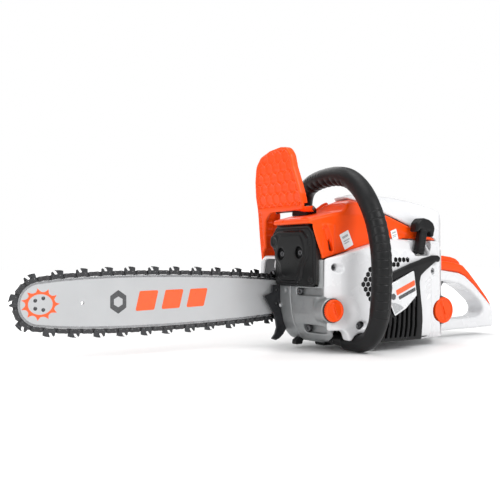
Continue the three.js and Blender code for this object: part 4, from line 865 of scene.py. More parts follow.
d = np.maximum(d, -f.prism("y", [[60, 100], [60, 212], [72, 217.5], [123, 197], [225, 160.2], [228.9, 157.4], [228.9, 100]], -80, 70))
# two shallow flutes on the rear
flute = np.minimum(f.capsule((236, -33, 212.5), (276, -15, 187), 3.4), f.capsule((236, -4, 214.5), (279, 2, 187), 3.4))
d = rmax(d, -flute, 1.6)
put(from_field("filter_hood", f, d, M["white"]), "root", "filter_cover")
# twist latch of the filter hood
latch = Field((268, -22, 176), (291, 16, 200), 0.7)
d = rmax(latch.capsule((281, -14, 180.5), (281, 8, 180.5), 5.0), -(latch.x - 279.5), 0.6)
put(from_field("filter_hood_latch", latch, d, M["black"]), "root", ())

# ---------------------------------------------------------------- tank and rear handle
f = Field((196, -87, 9), (426, 56, 158), 1.25)
RS = rounded([[197, 10], [424, 13], [424, 34], [419, 48], [398, 66], [374, 86], [352, 101], [338, 106], [290.2, 112], [289.2, 145.7], [228.3, 145.7], [228.3, 156.7], [197, 156.7]], [0, 5, 5, 8, 16, 18, 14, 8, 1, 3, 1, 2, 0])
RP = rounded([[197, -85], [217, -84], [234, -72], [254, -53], [274, -32], [289, -18], [300, -17], [420, -17], [424.5, -14], [424.5, 26], [418, 30], [360, 26], [300, 18], [284, 20], [262, 44], [240, 52], [197, 54]], [0, 10, 12, 14, 12, 8, 6, 3, 3, 4, 6, 12, 12, 12, 14, 10, 0])
RF = rounded([[-86, 170], [-86, 46], [-84.5, 22], [-78, 10], [56, 10], [56, 170]], [0, 20, 10, 4, 5, 0])
d = rmax(rmax(f.prism("y", RS, -90, 60), f.outline("z", RP), 3.5), f.outline("x", RF), 3.5)
LOOP = rounded([[262, 32], [268, 95], [310, 92], [340, 86.5], [358, 78.5], [374, 68], [389, 57], [397.5, 45.5], [394, 36.5], [383, 31], [340, 29.5]], [12, 14, 10, 12, 12, 12, 14, 12, 10, 12, 10])
boss = f.rod("y", FUEL[2] + 2.6, FUEL[3] + 4.2, -52, FUEL[0], FUEL[1], 1.5)
d = rmin(d, boss, 4.0)
d = rmax(d, -f.outline("y", LOOP), 4.5)
d = rmax(d, -np.maximum(np.maximum(f.outline("z", [(300, 18.2), (426, 18.2), (426, 60), (300, 60)]), f.slab("z", 29, 170)), f.prism("y", [(290, 28), (430, 28), (430, 170), (290, 170)], 17, 60)), 3.0)
d = np.maximum(d, -f.prism("y", rounded([[202, 16], [236, 16], [236, 150], [202, 150]], 4), -78, 46))
d = np.maximum(d, -f.box(202, -78, 140, 230, 46, 160))
d = np.maximum(d, -f.rod("y", FUEL[2] - 3.6, -90, -60, FUEL[0] - 12, FUEL[1]))
d = np.maximum(d, -f.prism("y", [[276, 108.5], [326, 105], [326, 84], [276, 84]], -6.6, 6.6))
d = np.maximum(d, -f.prism("y", [[292, 106], [354, 99], [354, 130], [292, 130]], -7.4, 7.4))
d = np.maximum(d, -f.prism("y", [[290.4, 111.8], [338, 106.5], [353, 101.2], [374, 86.2], [398, 66.2], [419, 48.2], [427, 36], [440, 80], [330, 150], [290.4, 150]], -60, 60))
d = np.maximum(d, -f.box(196, -32.5, 111, 206, 32.5, 160))
d = np.maximum(d, -f.rod("y", 3.4, 40, 60, 236, 128))
d = np.maximum(d, -f.rod("y", FUEL[2] - 3.6, -90, -58, FUEL[0], FUEL[1]))
d = np.maximum(d, -f.rod("y", FUEL[2] + 1.3, -100, FUEL[3] + 4.4, FUEL[0], FUEL[1], 0.5))
# the tank's joint line runs down from the fuel filler
seam = np.maximum(np.abs((f.x - 240.5) - (f.z - 20) * 0.12) - 0.7, f.z - 33)
shell = np.abs(d) - 1.1
d = rmax(d, -np.maximum(np.maximum(seam, shell), f.y + 30), 0.4)
put(from_field("tank_and_rear_handle", f, d, M["white"]), "root", "tank_handle")

STRIP = rounded([[290.7, 112.1], [338.2, 106.9], [353.2, 101.5], [374.2, 86.6], [398.2, 66.6], [418.5, 50], [424, 40], [424.6, 42], [419.5, 53], [408.5, 66], [386, 88], [365, 107.5], [350, 119], [341, 121], [330, 124], [310, 126], [290.7, 127]], [0, 4, 8, 8, 8, 4, 1, 1, 4, 8, 12, 12, 8, 6, 6, 6, 1])
f = Field((290, -15, 38), (425.5, 15, 128), 0.8)
d = rmax(f.outline("y", STRIP), f.slab("y", -14.2, 14.2), 4.2)
d = rmax(d, -f.prism("y", [[296, 90], [354.6, 90], [354.6, 130], [296, 134]], -7.6, 7.6), 0.5)
put(from_field("rear_handle_top_strip", f, d, M["orange"]), "root", "rear_handle_strip")

# throttle lock: a sprung plate with a ribbed crown
LX, LZ = 304.0, 118.0
f = Field((LX - 8, -7.2, LZ - 11), (LX + 52, 7.2, LZ + 18.5), 0.6)
LOCK = rounded([[LX + u, LZ + v] for u, v in ([-6, -4], [46, -9.5], [50, -8], [48.5, 0], [44, 7], [36, 12], [24, 15], [6, 17], [-4, 17], [-7, 13])], [2, 1, 2, 4, 6, 8, 8, 6, 4, 3])
d = rmax(f.outline("y", LOCK), f.slab("y", -6.9, 6.9), 2.4)
for k in range(7):
    cx = LX + 12 + k * 4.6
    top_ = np.interp(cx - LX, [6, 24, 36, 44], [17, 15.4, 12.6, 8.6])
    d = rmax(d, -f.capsule((cx, -8, LZ + top_ + 0.5), (cx, 8, LZ + top_ + 0.5), 1.2), 0.4)
put(from_field("throttle_lock_lever", f, d, M["orange"]), "throttle_lock", "throttle_lock")
# trigger
TX, TZ = 292.0, 104.0
f = Field((TX - 10, -6.2, TZ - 38), (TX + 23, 6.2, TZ + 1), 0.55)
TRIG = rounded([[TX + u, TZ + v] for u, v in ([-9, -2], [-6, -9], [2, -22], [4, -36], [10, -37], [14, -22], [22, -10], [22, -5.5], [0, -4], [-2, -1])], [2, 4, 6, 3, 3, 8, 2, 2, 1, 1])
d = rmax(f.outline("y", TRIG), f.slab("y", -5.7, 5.7), 1.9)
put(from_field("throttle_finger", f, d, M["black"]), "throttle_trigger", "throttle_trigger")

# ---------------------------------------------------------------- front handle
def tube_ribbed(name, pts, radius, material, n=48):
    """A swept grip whose section is set for each point and angle: radius(point, s, outward) with outward the direction from the line."""
    t = np.gradient(pts, axis=0)
    t /= np.linalg.norm(t, axis=1)[:, None]
    s = np.concatenate([[0], np.cumsum(np.linalg.norm(np.diff(pts, axis=0), axis=1))])
    v = np.array([1.0, 0, 0])
    v = v - t[0] * (v @ t[0])
    v /= np.linalg.norm(v)
    verts = []
    for i in range(len(pts)):
        v = v - t[i] * (v @ t[i])
        v /= np.linalg.norm(v)
        w = np.cross(t[i], v)
        for k in range(n):
            a = 2 * math.pi * k / n
            o = v * math.cos(a) + w * math.sin(a)
            verts.append(pts[i] + o * radius(pts[i], s[i], s[-1], o))
    faces = []
    for i in range(len(pts) - 1):
        for k in range(n):
            j = (k + 1) % n
            faces.append([i * n + k, i * n + j, (i + 1) * n + j, (i + 1) * n + k])
    for end in (0, len(pts) - 1):
        c = len(verts)
        verts.append(pts[end])
        for k in range(n):
            j = (k + 1) % n
            faces.append([end * n + j, end * n + k, c] if end == 0 else [end * n + k, end * n + j, c])
    return new_mesh(name, verts, faces, material)


def grip_radius(p, s, total, o):
    r = 14.0
    # flattened on the inside of the lower bend
    if p[2] < 60 and p[1] < -20:
        r -= 3.2 * min(1.0, max(0.0, (60 - p[2]) / 18)) * max(0.0, o[1] * 0.6 + o[2] * 0.8)
    # rolled ends
    e = min(s, total - s)
    if e < 3.0:
        r -= 3.0 * (1 - math.sqrt(max(0.0, 1 - (1 - e / 3.0) ** 2)))
    # cross grooves between two seams down the left leg, and a scalloped rear edge
    if p[1] < -92 and p[2] > 40:
        u = o[0] * 0.8368 - o[1] * 0.5476
        face = max(0.0, -(o[0] * 0.5476 + o[1] * 0.8368))
        ph = (s % 10.7) / 10.7
        fade = min(1.0, max(0.0, (p[2] - 46) / 8)) * min(1.0, max(0.0, (196 - p[2]) / 10))
        side = min(1.0, max(0.0, (u + 0.66) / 0.12)) * min(1.0, max(0.0, (0.70 - u) / 0.1)) * (1.0 if face > 0.1 else 0.0)
        g = max(0.0, 1 - abs(ph - 0.5) / 0.075)
        r -= 0.85 * min(1.0, g * 1.5) * side * fade
        r += 0.22 * (1 - abs(2 * ((ph + 0.5) % 1.0) - 1) ** 4) * side * fade
        edge = min(1.0, max(0.0, (u - 0.72) / 0.12))
        r += (0.55 * abs(math.sin(math.pi * (ph + 0.5))) - 0.3) * edge * fade
        if face > 0.1 and abs(u - 0.71) < 0.03:
            r -= 0.3 * fade
    # finger scallops below the top bar and short notches along its front
    if p[2] > 225 and p[1] > -70 and p[1] < 44:
        below = max(0.0, -o[2] - 0.15) / 0.85
        fade = min(1.0, (p[1] + 70) / 12) * min(1.0, (44 - p[1]) / 8)
        ph = (s % 14.6) / 14.6
        r += (1.9 * abs(math.sin(math.pi * ph)) - 1.5) * min(1.0, below * 1.5) * fade
        ph = (s % 7.3) / 7.3
        front = max(0.0, -o[0] - 0.1)
        upper = max(0.0, 1 - abs(o[2] - 0.30) / 0.2)
        g = max(0.0, 1 - abs(ph - 0.5) / 0.2)
        r -= 0.9 * g * min(1.0, front * 2.2) * upper * min(1.0, max(0.0, (p[1] + 6) / 10)) * min(1.0, (44 - p[1]) / 8)
    return r


i0, i1 = 0.1, 0.93
sgrid = np.linspace(i0 * 600, i1 * 600, int((i1 - i0) * LINE_LEN / 0.62))
gpts = np.stack([np.interp(sgrid, np.arange(601), LINE[:, k]) for k in range(3)], 1)
grip = tube_ribbed("front_handle_rubber", gpts, grip_radius, M["rubber"], 88)
put(grip, "root", "front_handle_grip")


def tube_radius(s, a):
    e = min(s, LINE_LEN - s)
    return 10.5 - (1.2 * (1 - math.sqrt(max(0.0, 1 - (1 - e / 1.2) ** 2))) if e < 1.2 else 0.0)


tb = tube("front_handle_bar", LINE[::2], tube_radius, M["tube"], n=36)
put(tb, "root", "front_handle_tube")

f = Field((59, 36, 140), (89, 77, 150), 0.6)
d = f.prism("z", rounded([[60, 37.3], [88, 37.3], [88, 66], [82, 76], [64, 76], [60, 66]], 3), 141, 149, 1.6)
d = rmin(d, f.rod("z", 13.2, 141, 149.4, 73, 64, 1.6), 1.5)
d = rmax(d, -f.rod("z", 3.4, 146.5, 152, 66, 45, 0.3), 0.3)
d = rmax(d, -f.rod("z", 3.4, 146.5, 152, 80, 45, 0.3), 0.3)
d = np.maximum(d, f.box(60, 37.3, 141, 88, 76, 149.2))
put(from_field("front_handle_clamp", f, d, M["black"]), "root", "handle_bracket")

f = Field((30, -25, 2), (68, 21, 10.5), 0.6)
d = np.minimum(f.box(38, -20, 6.2, 43, -8, 9.7, 1.2), f.box(42, -24, 4, 66, -4, 9.7, 1.6))
ch = None
for i in range(510, 600, 10):
    c = f.capsule(LINE[i], LINE[min(i + 10, 600)], 11.0)
    ch = c if ch is None else np.minimum(ch, c)
d = rmax(d, -ch, 0.5)
d = np.maximum(d, -f.box(44.5, -70, 3, 68, -29.9, 12))
put(from_field("handle_rubber_foot", f, d, M["rubber"]), "root", "handle_foot")
ob = extruded("front_rubber_foot", rounded([[12.5, 6.6], [14, 5.0], [24.5, 4.8], [28, 12.5], [21.5, 16.0], [13.5, 11.6]], [1.5, 1.5, 2, 1, 1, 2], 4), "y", 4.0, 13.5, M["rubber"], bevel=0.8, segments=3)
put(ob, "root", ())

# ---------------------------------------------------------------- guide bar
BAR_HALF = [[-355, 28], [-334, 30.6], [-300, 32.8], [-260, 34.2], [-220, 34.6], [-180, 34.4], [-140, 33.6], [-100, 32.4], [-60, 30.8], [-20, 28.4], [10, 26], [34, 23.5], [50, 20.5], [58, 15.5], [62, 8]]
BZ = 74.0
xs = np.array([p[0] for p in BAR_HALF], float)
hs = np.array([p[1] for p in BAR_HALF], float)


def smooth_half(x):
    """The bar's half height, smoothed between the frame's points."""
    k = np.linspace(-8, 8, 9)
    return float(np.mean(np.interp(x + k, xs, hs))) if -345 < x < 40 else float(np.interp(x, xs, hs))


def bar_outline(drop=0.0, x_end=62):
    pts = []
    for x in list(np.arange(50, -350, -6.0)) + [-352, -355]:
        pts.append([x, BZ + smooth_half(x) - drop])
    for i in range(1, 32):
        a = math.pi / 2 + math.pi * i / 32
        pts.append([-355 + (28 - drop) * math.cos(a), BZ + (28 - drop) * math.sin(a)])
    low = [[x, 2 * BZ - z] for x, z in pts[: len(list(np.arange(50, -350, -6.0))) + 2]]
    pts += low[::-1]
    pts += [[58 - drop * 0.4, BZ - 15.5 + drop * 0.5], [62 - drop, BZ - 8], [62 - drop, BZ + 8], [58 - drop * 0.4, BZ + 15.5 - drop * 0.5]]
    return pts


slot_pts = [(50 + 4.3 * math.cos(a), BZ + 4.3 * math.sin(a)) for a in np.linspace(-math.pi / 2, math.pi / 2, 12)] + [(16 + 4.3 * math.cos(a), BZ + 4.3 * math.sin(a)) for a in np.linspace(math.pi / 2, 3 * math.pi / 2, 12)]
holes = [slot_pts, circle(3, 20, 36, BZ + 13), circle(3, 20, 36, BZ - 13), circle(2.2, 20, -301, BZ)]
nose_rivets = [(-351.5, BZ + 7.4), (-351.5, BZ - 6.8), (-361.5, BZ + 4.8), (-361.5, BZ - 5.0)]
# two skins with the rail groove between them, open at the nose for the sprocket
for nm, a, b in (("guide_bar_left_skin", 33.0, 34.25), ("guide_bar_right_skin", 35.75, 37.0)):
    ob = extruded(nm, bar_outline(), "y", a, b, M["rail"], bevel=0.3, holes=holes, segments=2)
    put(ob, "root", "guide_bar" if nm.endswith("left_skin") else ())
core = extruded("guide_bar_core", [p for p in bar_outline(6.0) if p[0] > -318] , "y", 34.2, 35.8, M["bar"], bevel=0.1, holes=[slot_pts, holes[3]], segments=1)
put(core, "root", ())
hub = lathe("nose_sprocket_hub", [(0, 34.0), (7.6, 34.0), (7.8, 34.3), (7.8, 35.7), (7.6, 36.0), (0, 36.0)], "y", (-355, 0, BZ), M["rail"], 40)
put(hub, "root", ())
# the lacquered faces stop short of the ground rails
for nm, a, b in (("guide_bar_left_face", 32.86, 33.06), ("guide_bar_right_face", 36.94, 37.14)):
    ob = extruded(nm, bar_outline(3.1), "y", a, b, M["bar"], bevel=0.07, holes=holes, segments=1)
    put(ob, "root", ())
for i, (x, z) in enumerate(nose_rivets):
    for side, y0, y1 in (("a", 32.3, 33.2), ("b", 36.8, 37.7)):
        w0, w1 = (y0, y1) if side == "a" else (y1, y0)
        ob = lathe(f"nose_rivet_{i}_{side}", [(0, w0), (1.0, w0), (1.3, w0 + (w1 - w0) * 0.25), (2.4, w0 + (w1 - w0) * 0.4), (2.5, w1), (0, w1)], "y", (x, 0, z), M["dark_steel"], 24)
        put(ob, "root", ())


def star_ring(r1, r_tip, n=11, wide=1.22):
    """A toothed ring print: broad curved teeth round the nose."""
    out = []
    w = 2 * math.pi / n
    for i in range(n):
        a = w * i
        for da, q in ((-0.5, 0.0), (-0.36, 0.02), (-0.2, 0.25), (-0.08, 0.62), (0.02, 1.0), (0.1, 0.5), (0.22, 0.14), (0.36, 0.0)):
            r = r1 + (r_tip - r1) * q
            t = a + w * da
            out.append((-355 + wide * r * math.cos(t), BZ + r * math.sin(t)))
    return out


for nm, a, b in (("nose_mark_left", 32.76, 32.9), ("nose_mark_right", 37.1, 37.24)):
    ob = extruded(nm, star_ring(15.4, 20.2), "y", a, b, M["print"], bevel=0.04, holes=[[(-355 + 1.22 * u, BZ + v) for u, v in circle(12.6, 60)]], segments=1)
    put(ob, "root", ())
# plain slanted blocks and a hexagon stand in for the print on the bar
for side, a, b in (("left", 32.76, 32.9), ("right", 37.1, 37.24)):
    for k, (x0, x1) in enumerate(((-226, -196), (-188, -158), (-150, -120))):
        ob = extruded(f"bar_block_{k}_{side}", rounded([[x0 - 2.5, 61 + k * 1.2], [x1 - 5.0, 62 + k * 1.2], [x1 + 1.5, 88 + k * 0.6], [x0 + 4.0, 87.4 + k * 0.6]], 2.5, 4), "y", a, b, M["print"], bevel=0.04, segments=1)
        put(ob, "root", ())
    ob = extruded(f"bar_hexagon_{side}", rounded([(-252.5 + 13.0 * math.cos(t), 74 + 15.5 * math.sin(t)) for t in [math.pi / 6 + math.pi / 3 * q for q in range(6)]], 1.5, 4), "y", a, b, M["badge_dark"], bevel=0.04, holes=[circle(7.0, 6, -252.5, 74, math.pi / 6)], segments=1)
    put(ob, "root", ())

# ---------------------------------------------------------------- saw chain, link by link
RO = 3.3


def rivet_line():
    top = [(x, h) for x, h in BAR_HALF if x <= 50]
    pts = []
    for x, h in top:
        pts.append([x, BZ - h - RO])
    for i in range(13):
        a = -math.pi / 2 - 0.02 + math.pi * i / 12
        pts.append([CRANK[0] + 19.03 * math.cos(a), CRANK[1] + 19.03 * math.sin(a)])
    for x, h in top[::-1]:
        pts.append([x, BZ + h + RO])
    for i in range(15):
        a = math.pi * (i + 1) / 16 + math.pi / 2
        pts.append([-355 + (28 + RO) * math.cos(a), BZ + (28 + RO) * math.sin(a)])
    return np.array(pts)


def closed_curve(p, sub=24):
    out = []
    n = len(p)
    for i in range(n):
        a, b, c, e = p[(i - 1) % n], p[i], p[(i + 1) % n], p[(i + 2) % n]
        for k in range(sub):
            t = k / sub
            out.append(0.5 * (2 * b + (c - a) * t + (2 * a - 5 * b + 4 * c - e) * t * t + (-a + 3 * b - 3 * c + e) * t**3))
    return np.array(out)


loop = closed_curve(rivet_line())
loop = np.vstack([loop, loop[:1]])
ls = np.concatenate([[0], np.cumsum(np.linalg.norm(np.diff(loop, axis=0), axis=1))])
CH = ls[-1]
PITCHES = 128
STEP = CH / PITCHES


def on_loop(s):
    s = s % CH
    return np.array([np.interp(s, ls, loop[:, 0]), np.interp(s, ls, loop[:, 1])])


def plate(pts, a, b, bev=0.18):
    """Vertices and faces of a bevelled flat link, outline (u, w), thickness a..b."""
    pts = np.array(pts, float)
    n = len(pts)
    e = np.roll(pts, -1, 0) - pts
    nrm = np.stack([e[:, 1], -e[:, 0]], 1)
    nrm /= np.linalg.norm(nrm, axis=1)[:, None] + 1e-9
    vn = nrm + np.roll(nrm, 1, 0)
    vn /= np.linalg.norm(vn, axis=1)[:, None] + 1e-9
    area = 0.5 * np.sum(pts[:, 0] * np.roll(pts[:, 1], -1) - np.roll(pts[:, 0], -1) * pts[:, 1])
    inn = pts - vn * bev * (1 if area > 0 else -1)
    rows = [(inn, a), (pts, a + bev), (pts, b - bev), (inn, b)]
    verts = []
    for q, y in rows:
        for u, w in q:
            verts.append((u, y, w))
    faces = []
    for j in range(3):
        for i in range(n):
            k = (i + 1) % n
            faces.append([j * n + i, j * n + k, (j + 1) * n + k, (j + 1) * n + i])
    faces.append(list(range(n - 1, -1, -1)))
    faces.append([3 * n + i for i in range(n)])
    return np.array(verts), faces


P2 = STEP / 2
strap = []
for a in np.linspace(math.pi * 0.62, math.pi * 1.38, 7):
    strap.append((-P2 + 3.0 * math.cos(a), 3.25 * math.sin(a)))
strap.append((0, -2.9))
for a in np.linspace(-math.pi * 0.38, math.pi * 0.38, 7):
    strap.append((P2 + 3.0 * math.cos(a), 3.25 * math.sin(a)))
strap.append((0, 2.7))
drive = [(-P2 - 2.8, 0.6), (-P2 - 2.2, -2.9), (-2.6, -3.1), (-1.6, -5.6), (-0.2, -7.4), (1.0, -5.4), (2.6, -3.1), (P2 + 2.2, -2.9), (P2 + 2.8, 0.6), (P2 + 1.6, 3.0), (P2 - 1.6, 2.8), (0, 2.2), (-P2 + 1.6, 2.8), (-P2 - 1.6, 3.0)]
# the cutter runs nose first along +u on this loop: depth gauge ahead of the tooth
side = [(-P2 - 3.6, -1.8), (-P2 - 1.4, -3.1), (0, -3.0), (P2 + 1.4, -3.1), (P2 + 2.9, -1.2), (P2 + 3.0, 1.8), (P2 + 2.5, 6.0), (P2 + 0.9, 6.9), (P2 - 0.9, 4.6), (P2 - 2.2, 2.2), (0.2, 1.9), (-1.2, 3.2), (-0.2, 5.2), (0.9, 7.8), (-1.0, 8.1), (-5.6, 7.5), (-P2 - 4.4, 6.6), (-P2 - 4.6, 3.6)]


def top_plate(y0, y1):
    """The cutter's top: a tapered wedge from its cutting edge back."""
    u0, u1 = -P2 - 4.4, 0.9
    z0a, z0b, z1a, z1b = 5.6, 6.6, 6.9, 8.1
    wy = y1
    v = [(u0, y0, z0a), (u0, wy * 0.55 + y0 * 0.45, z0a), (u0, wy * 0.55 + y0 * 0.45, z0b), (u0, y0, z0b), (u1 - 0.6, y0, z1a), (u1 + 0.4, wy, z1a), (u1 + 0.4, wy, z1b), (u1 - 0.6, y0, z1b)]
    fcs = [[0, 1, 2, 3], [7, 6, 5, 4], [0, 4, 5, 1], [1, 5, 6, 2], [2, 6, 7, 3], [3, 7, 4, 0]]
    return np.array(v, float), fcs


def rivet(y0, y1):
    verts, faces, n = [], [], 12
    rows = [(1.0, y0), (1.55, y0 + 0.22), (1.55, y1 - 0.22), (1.0, y1)]
    for r, y in rows:
        for i in range(n):
            a = 2 * math.pi * i / n
            verts.append((r * math.cos(a), y, r * math.sin(a)))
    for j in range(3):
        for i in range(n):
            k = (i + 1) % n
            faces.append([j * n + i, (j + 1) * n + i, (j + 1) * n + k, j * n + k])
    faces.append(list(range(n)))
    faces.append([3 * n + i for i in range(n - 1, -1, -1)])
    return np.array(verts), faces


links = {"chain": ([], []), "cutter": ([], [])}


def place(kind, part_, s):
    v, fc = part_
    c = on_loop(s)
    a, b = on_loop(s - P2), on_loop(s + P2)
    t = (b - a) / np.linalg.norm(b - a)
    mid = (a + b) / 2
    nrm = np.array([t[1], -t[0]])  # outward, away from the bar
    base = len(links[kind][0])
    wraps = mid[0] > 62
    for u, y, w in v:
        if wraps:
            w = max(w, -2.0)
        q = mid + t * u + nrm * w
        links[kind][0].append((q[0], y, q[1]))
    for q in fc:
        links[kind][1].append([base + i for i in q])


YC = 35.0
tie_l, tie_r = plate(strap, YC - 2.05, YC - 0.75), plate(strap, YC + 0.75, YC + 2.05)
drv = plate(drive, YC - 0.68, YC + 0.68)
cut_l, cut_r = plate(side, YC - 2.3, YC - 0.8), plate(side, YC + 0.8, YC + 2.3)
top_l, top_r = top_plate(YC - 3.3, YC + 0.9), top_plate(YC + 3.3, YC - 0.9)
riv = rivet(YC - 2.5, YC + 2.5)
PHASE = 4.0
for i in range(64):
    s = PHASE + i * 2 * STEP
    place("chain", drv, s)
    s2 = s + STEP
    kind = i % 4
    if kind == 0:
        place("cutter", cut_l, s2)
        place("cutter", top_l, s2)
        place("chain", tie_r, s2)
    elif kind == 2:
        place("cutter", cut_r, s2)
        place("cutter", top_r, s2)
        place("chain", tie_l, s2)
    else:
        place("chain", tie_l, s2)
        place("chain", tie_r, s2)
for i in range(128):
    s = PHASE + (i + 0.5) * STEP
    c = on_loop(s)
    base = len(links["chain"][0])
    for u, y, w in riv[0]:
        links["chain"][0].append((c[0] + u, y, c[1] + w))
    for q in riv[1]:
        links["chain"][1].append([base + j for j in q])
for kind, nm in (("chain", "saw_chain_links"), ("cutter", "saw_chain_cutters")):
    ob = new_mesh(nm, *links[kind], M[kind], smooth=False)
    bm = bmesh.new()
    bm.from_mesh(ob.data)
    bmesh.ops.recalc_face_normals(bm, faces=bm.faces)
    bm.to_mesh(ob.data)
    bm.free()
    put(ob, "root", "saw_chain" if kind == "chain" else ())

# ---------------------------------------------------------------- bumper spike
BUMP = rounded([[-0.4, 91], [-14, 92], [-15, 80], [-29, 76], [-20, 62], [-12, 50], [-8, 40], [-6, 29], [-9, 20], [-15, 13], [-8, 10.5], [-1, 13], [6, 19], [11.5, 27], [6.4, 37], [2.4, 52], [-0.1, 70]], [1, 1, 3, 0.6, 3, 4, 4, 4, 4, 0.6, 1, 2, 3, 1, 3, 6, 4], 5)
ob = extruded("bumper_spikes", BUMP, "y", 25.0, 28.2, M["dark_steel"], bevel=0.5, holes=[circle(2.6, 24, -6, 64), circle(2.0, 20, -6, 84)], segments=3)
put(ob, "root", "bumper_spike")
ob = lathe("bumper_rivet", [(0, 23.4), (2.6, 23.6), (3.6, 24.3), (3.9, 25.2), (0, 25.2)], "y", (1.8, 0, 62), M["steel"], 28)
put(ob, "root", ())

# ---------------------------------------------------------------- clutch cover
f = Field((-7, 31, 29), (157, 73, 140), 1.0)
CS = rounded([[-4, 62], [-6, 92], [-5, 113], [-4, 127], [3, 134.6], [20, 134.2], [36, 138.2], [80, 138], [118, 127], [146, 108], [156, 82], [150, 54], [130, 38], [96, 31], [50, 30], [14, 38]], [6, 14, 14, 8, 6, 10, 12, 20, 24, 22, 20, 20, 20, 20, 20, 16])
CI = rounded([[0, 64], [-2, 92], [-1, 111], [0.5, 125], [6, 130.8], [20, 130.6], [36, 134.6], [79, 134], [116, 123.5], [143, 106], [152, 82], [146, 56], [128, 42], [95, 35], [51, 34], [16, 42]], 12)
d = rmax(f.outline("y", CS), f.slab("y", 31.4, 72), 5.0)
# the flat edge that meets the crankcase stays sharp
d = np.minimum(d, np.maximum(f.outline("y", CS), f.slab("y", 31.4, 44)))
d = np.maximum(d, -rmax(f.outline("y", CI), f.slab("y", 30, 68.5), 3.0))
ring = np.abs(np.sqrt((f.x - 92) ** 2 + (f.z - 82) ** 2) - 43) - 1.6
d = rmax(d, -np.maximum(ring, f.slab("y", 70.9, 80)), 0.8)
d = rmin(d, np.minimum(f.rod("y", 9, 37.3, 70, 22, BZ), f.rod("y", 9, 37.3, 70, 46, BZ)), 1.5)
# recess round the two bar nuts
d = rmax(d, -f.prism("y", [(22 + 10.6 * math.cos(a), BZ + 10.6 * math.sin(a)) for a in np.linspace(math.pi / 2, 3 * math.pi / 2, 16)] + [(46 + 10.6 * math.cos(a), BZ + 10.6 * math.sin(a)) for a in np.linspace(-math.pi / 2, math.pi / 2, 16)], 69.8, 80), 0.9)
for x in (22, 46):
    d = np.maximum(d, -f.rod("y", 4.2, 30, 80, x, BZ))
    d = np.maximum(d, -f.rod("y", 8.2, 60, 80, x, BZ, 0.4))
d = rmax(d, -f.box(-20, 28, 32, 24, 41.5, 116), 0.8)
d = np.maximum(d, -f.box(59.5, 28, 106, 90.5, 37.4, 150))
d = np.maximum(d, -f.rod("y", 3.2, 30, 80, 4, 84))
for x0, z0, x1, z1 in ((118, 66, 140, 72), (118, 80, 140, 86), (118, 94, 136, 100)):
    d = rmax(d, -f.prism("y", rounded([[x0, z0], [x1, z0], [x1, z1], [x0, z1]], 2), 60, 80), 0.8)
# the front end is open above the bar, between the outer wall and a thin inner flange
d = rmax(d, -f.box(-20, 34.5, 84, 22, 61, 129.4, 2.0), 0.8)
# a flute along the top
d = rmax(d, -f.capsule((40, 73.2, 122), (100, 73.2, 119), 3.4), 1.4)
put(from_field("clutch_side_cover", f, d, M["cover_white"]), "root", "clutch_cover")


def hexnut(name, x, y0, y1, z, across, bore, node):
    n = 48
    verts, faces = [], []
    r_hex = lambda t: across / 2 / math.cos(((t + math.pi / 6) % (math.pi / 3)) - math.pi / 6)
    rows = [(y0, 0.0), (y1 - 1.1, 0.0), (y1 - 0.3, 0.7), (y1, 1.4)]
    for y, chf in rows:
        for i in range(n):
            t = 2 * math.pi * i / n
            r = min(r_hex(t), across / 2 * 1.155 - chf)
            verts.append((x + r * math.cos(t), y, z + r * math.sin(t)))
    for y, r in ((y1, bore + 0.5), (y1 - 0.6, bore), (y0, bore)):
        for i in range(n):
            t = 2 * math.pi * i / n
            verts.append((x + r * math.cos(t), y, z + r * math.sin(t)))
    m_ = len(rows) + 3
    for j in range(m_ - 1):
        for i in range(n):
            k = (i + 1) % n
            faces.append([j * n + i, j * n + k, (j + 1) * n + k, (j + 1) * n + i])
    for i in range(n):
        k = (i + 1) % n
        faces.append([(m_ - 1) * n + i, (m_ - 1) * n + k, k, i])
    ob = new_mesh(name, verts, faces, M["steel"], smooth=False)
    bm = bmesh.new()
    bm.from_mesh(ob.data)
    bmesh.ops.recalc_face_normals(bm, faces=bm.faces)
    bm.to_mesh(ob.data)
    bm.free()
    return put(ob, "root", node)


for nm, x, node in (("bar_clamp_nut_front", 22, "bar_nut_front"), ("bar_clamp_nut_rear", 46, "bar_nut_rear")):
    hexnut(nm, x, 60.4, 70.0, BZ, 12.9, 4.1, node)
    stud = lathe(nm.replace("nut", "stud"), [(0, 60.6), (3.9, 60.6), (3.9, 67.6), (3.3, 68.4), (0, 68.4)], "y", (x, 0, BZ), M["steel"], 32)
    put(stud, "root", ())
ob = lathe("chain_tension_screw", [(0, 62.0), (2.8, 62.0), (2.8, 70.4), (2.3, 71.0), (1.2, 71.0), (1.0, 69.8), (0, 69.8)], "y", (4, 0, 84), M["steel"], 32)
put(ob, "root", "tension_screw")

# ---------------------------------------------------------------- hand guard
f = Field((GPX - 47, -34, GPZ - 79), (GPX + 8, 81, GPZ + 92), 0.95)
PLATE = rounded([[79, -78], [80, -58], [79, -5], [79, 20], [76, 44], [69, 66], [55, 79], [30, 86], [4, 88.5], [-11, 87], [-20, 76], [-23, 58], [-29, 38], [-34, 20], [-35, 3], [-31, -3], [46, -4], [60, -14], [65, -34], [66, -55], [73.6, -63], [73.6, -78]], [2, 4, 14, 16, 18, 20, 18, 24, 24, 14, 14, 20, 16, 12, 4, 4, 20, 16, 12, 6, 6, 2])
PL = [(u, GPZ + v) for u, v in PLATE]
SIDE = rounded([[-46, 91], [-42, 91], [-38, 60], [-32, 20], [-28, 0], [-24, -40], [-22, -78], [-26, -78], [-30, -40], [-34, 0], [-38, 22], [-43, 60]], [0.5, 0.5, 20, 30, 20, 20, 1, 1, 20, 20, 30, 20])
front = np.interp(f.ax[2] - GPZ, [-78, -40, 0, 22, 60, 91], [-26, -30, -34, -38, -43, -46])[None, None, :].astype(np.float32)
thick = 4.4
plate_d = f.outline("x", PL)
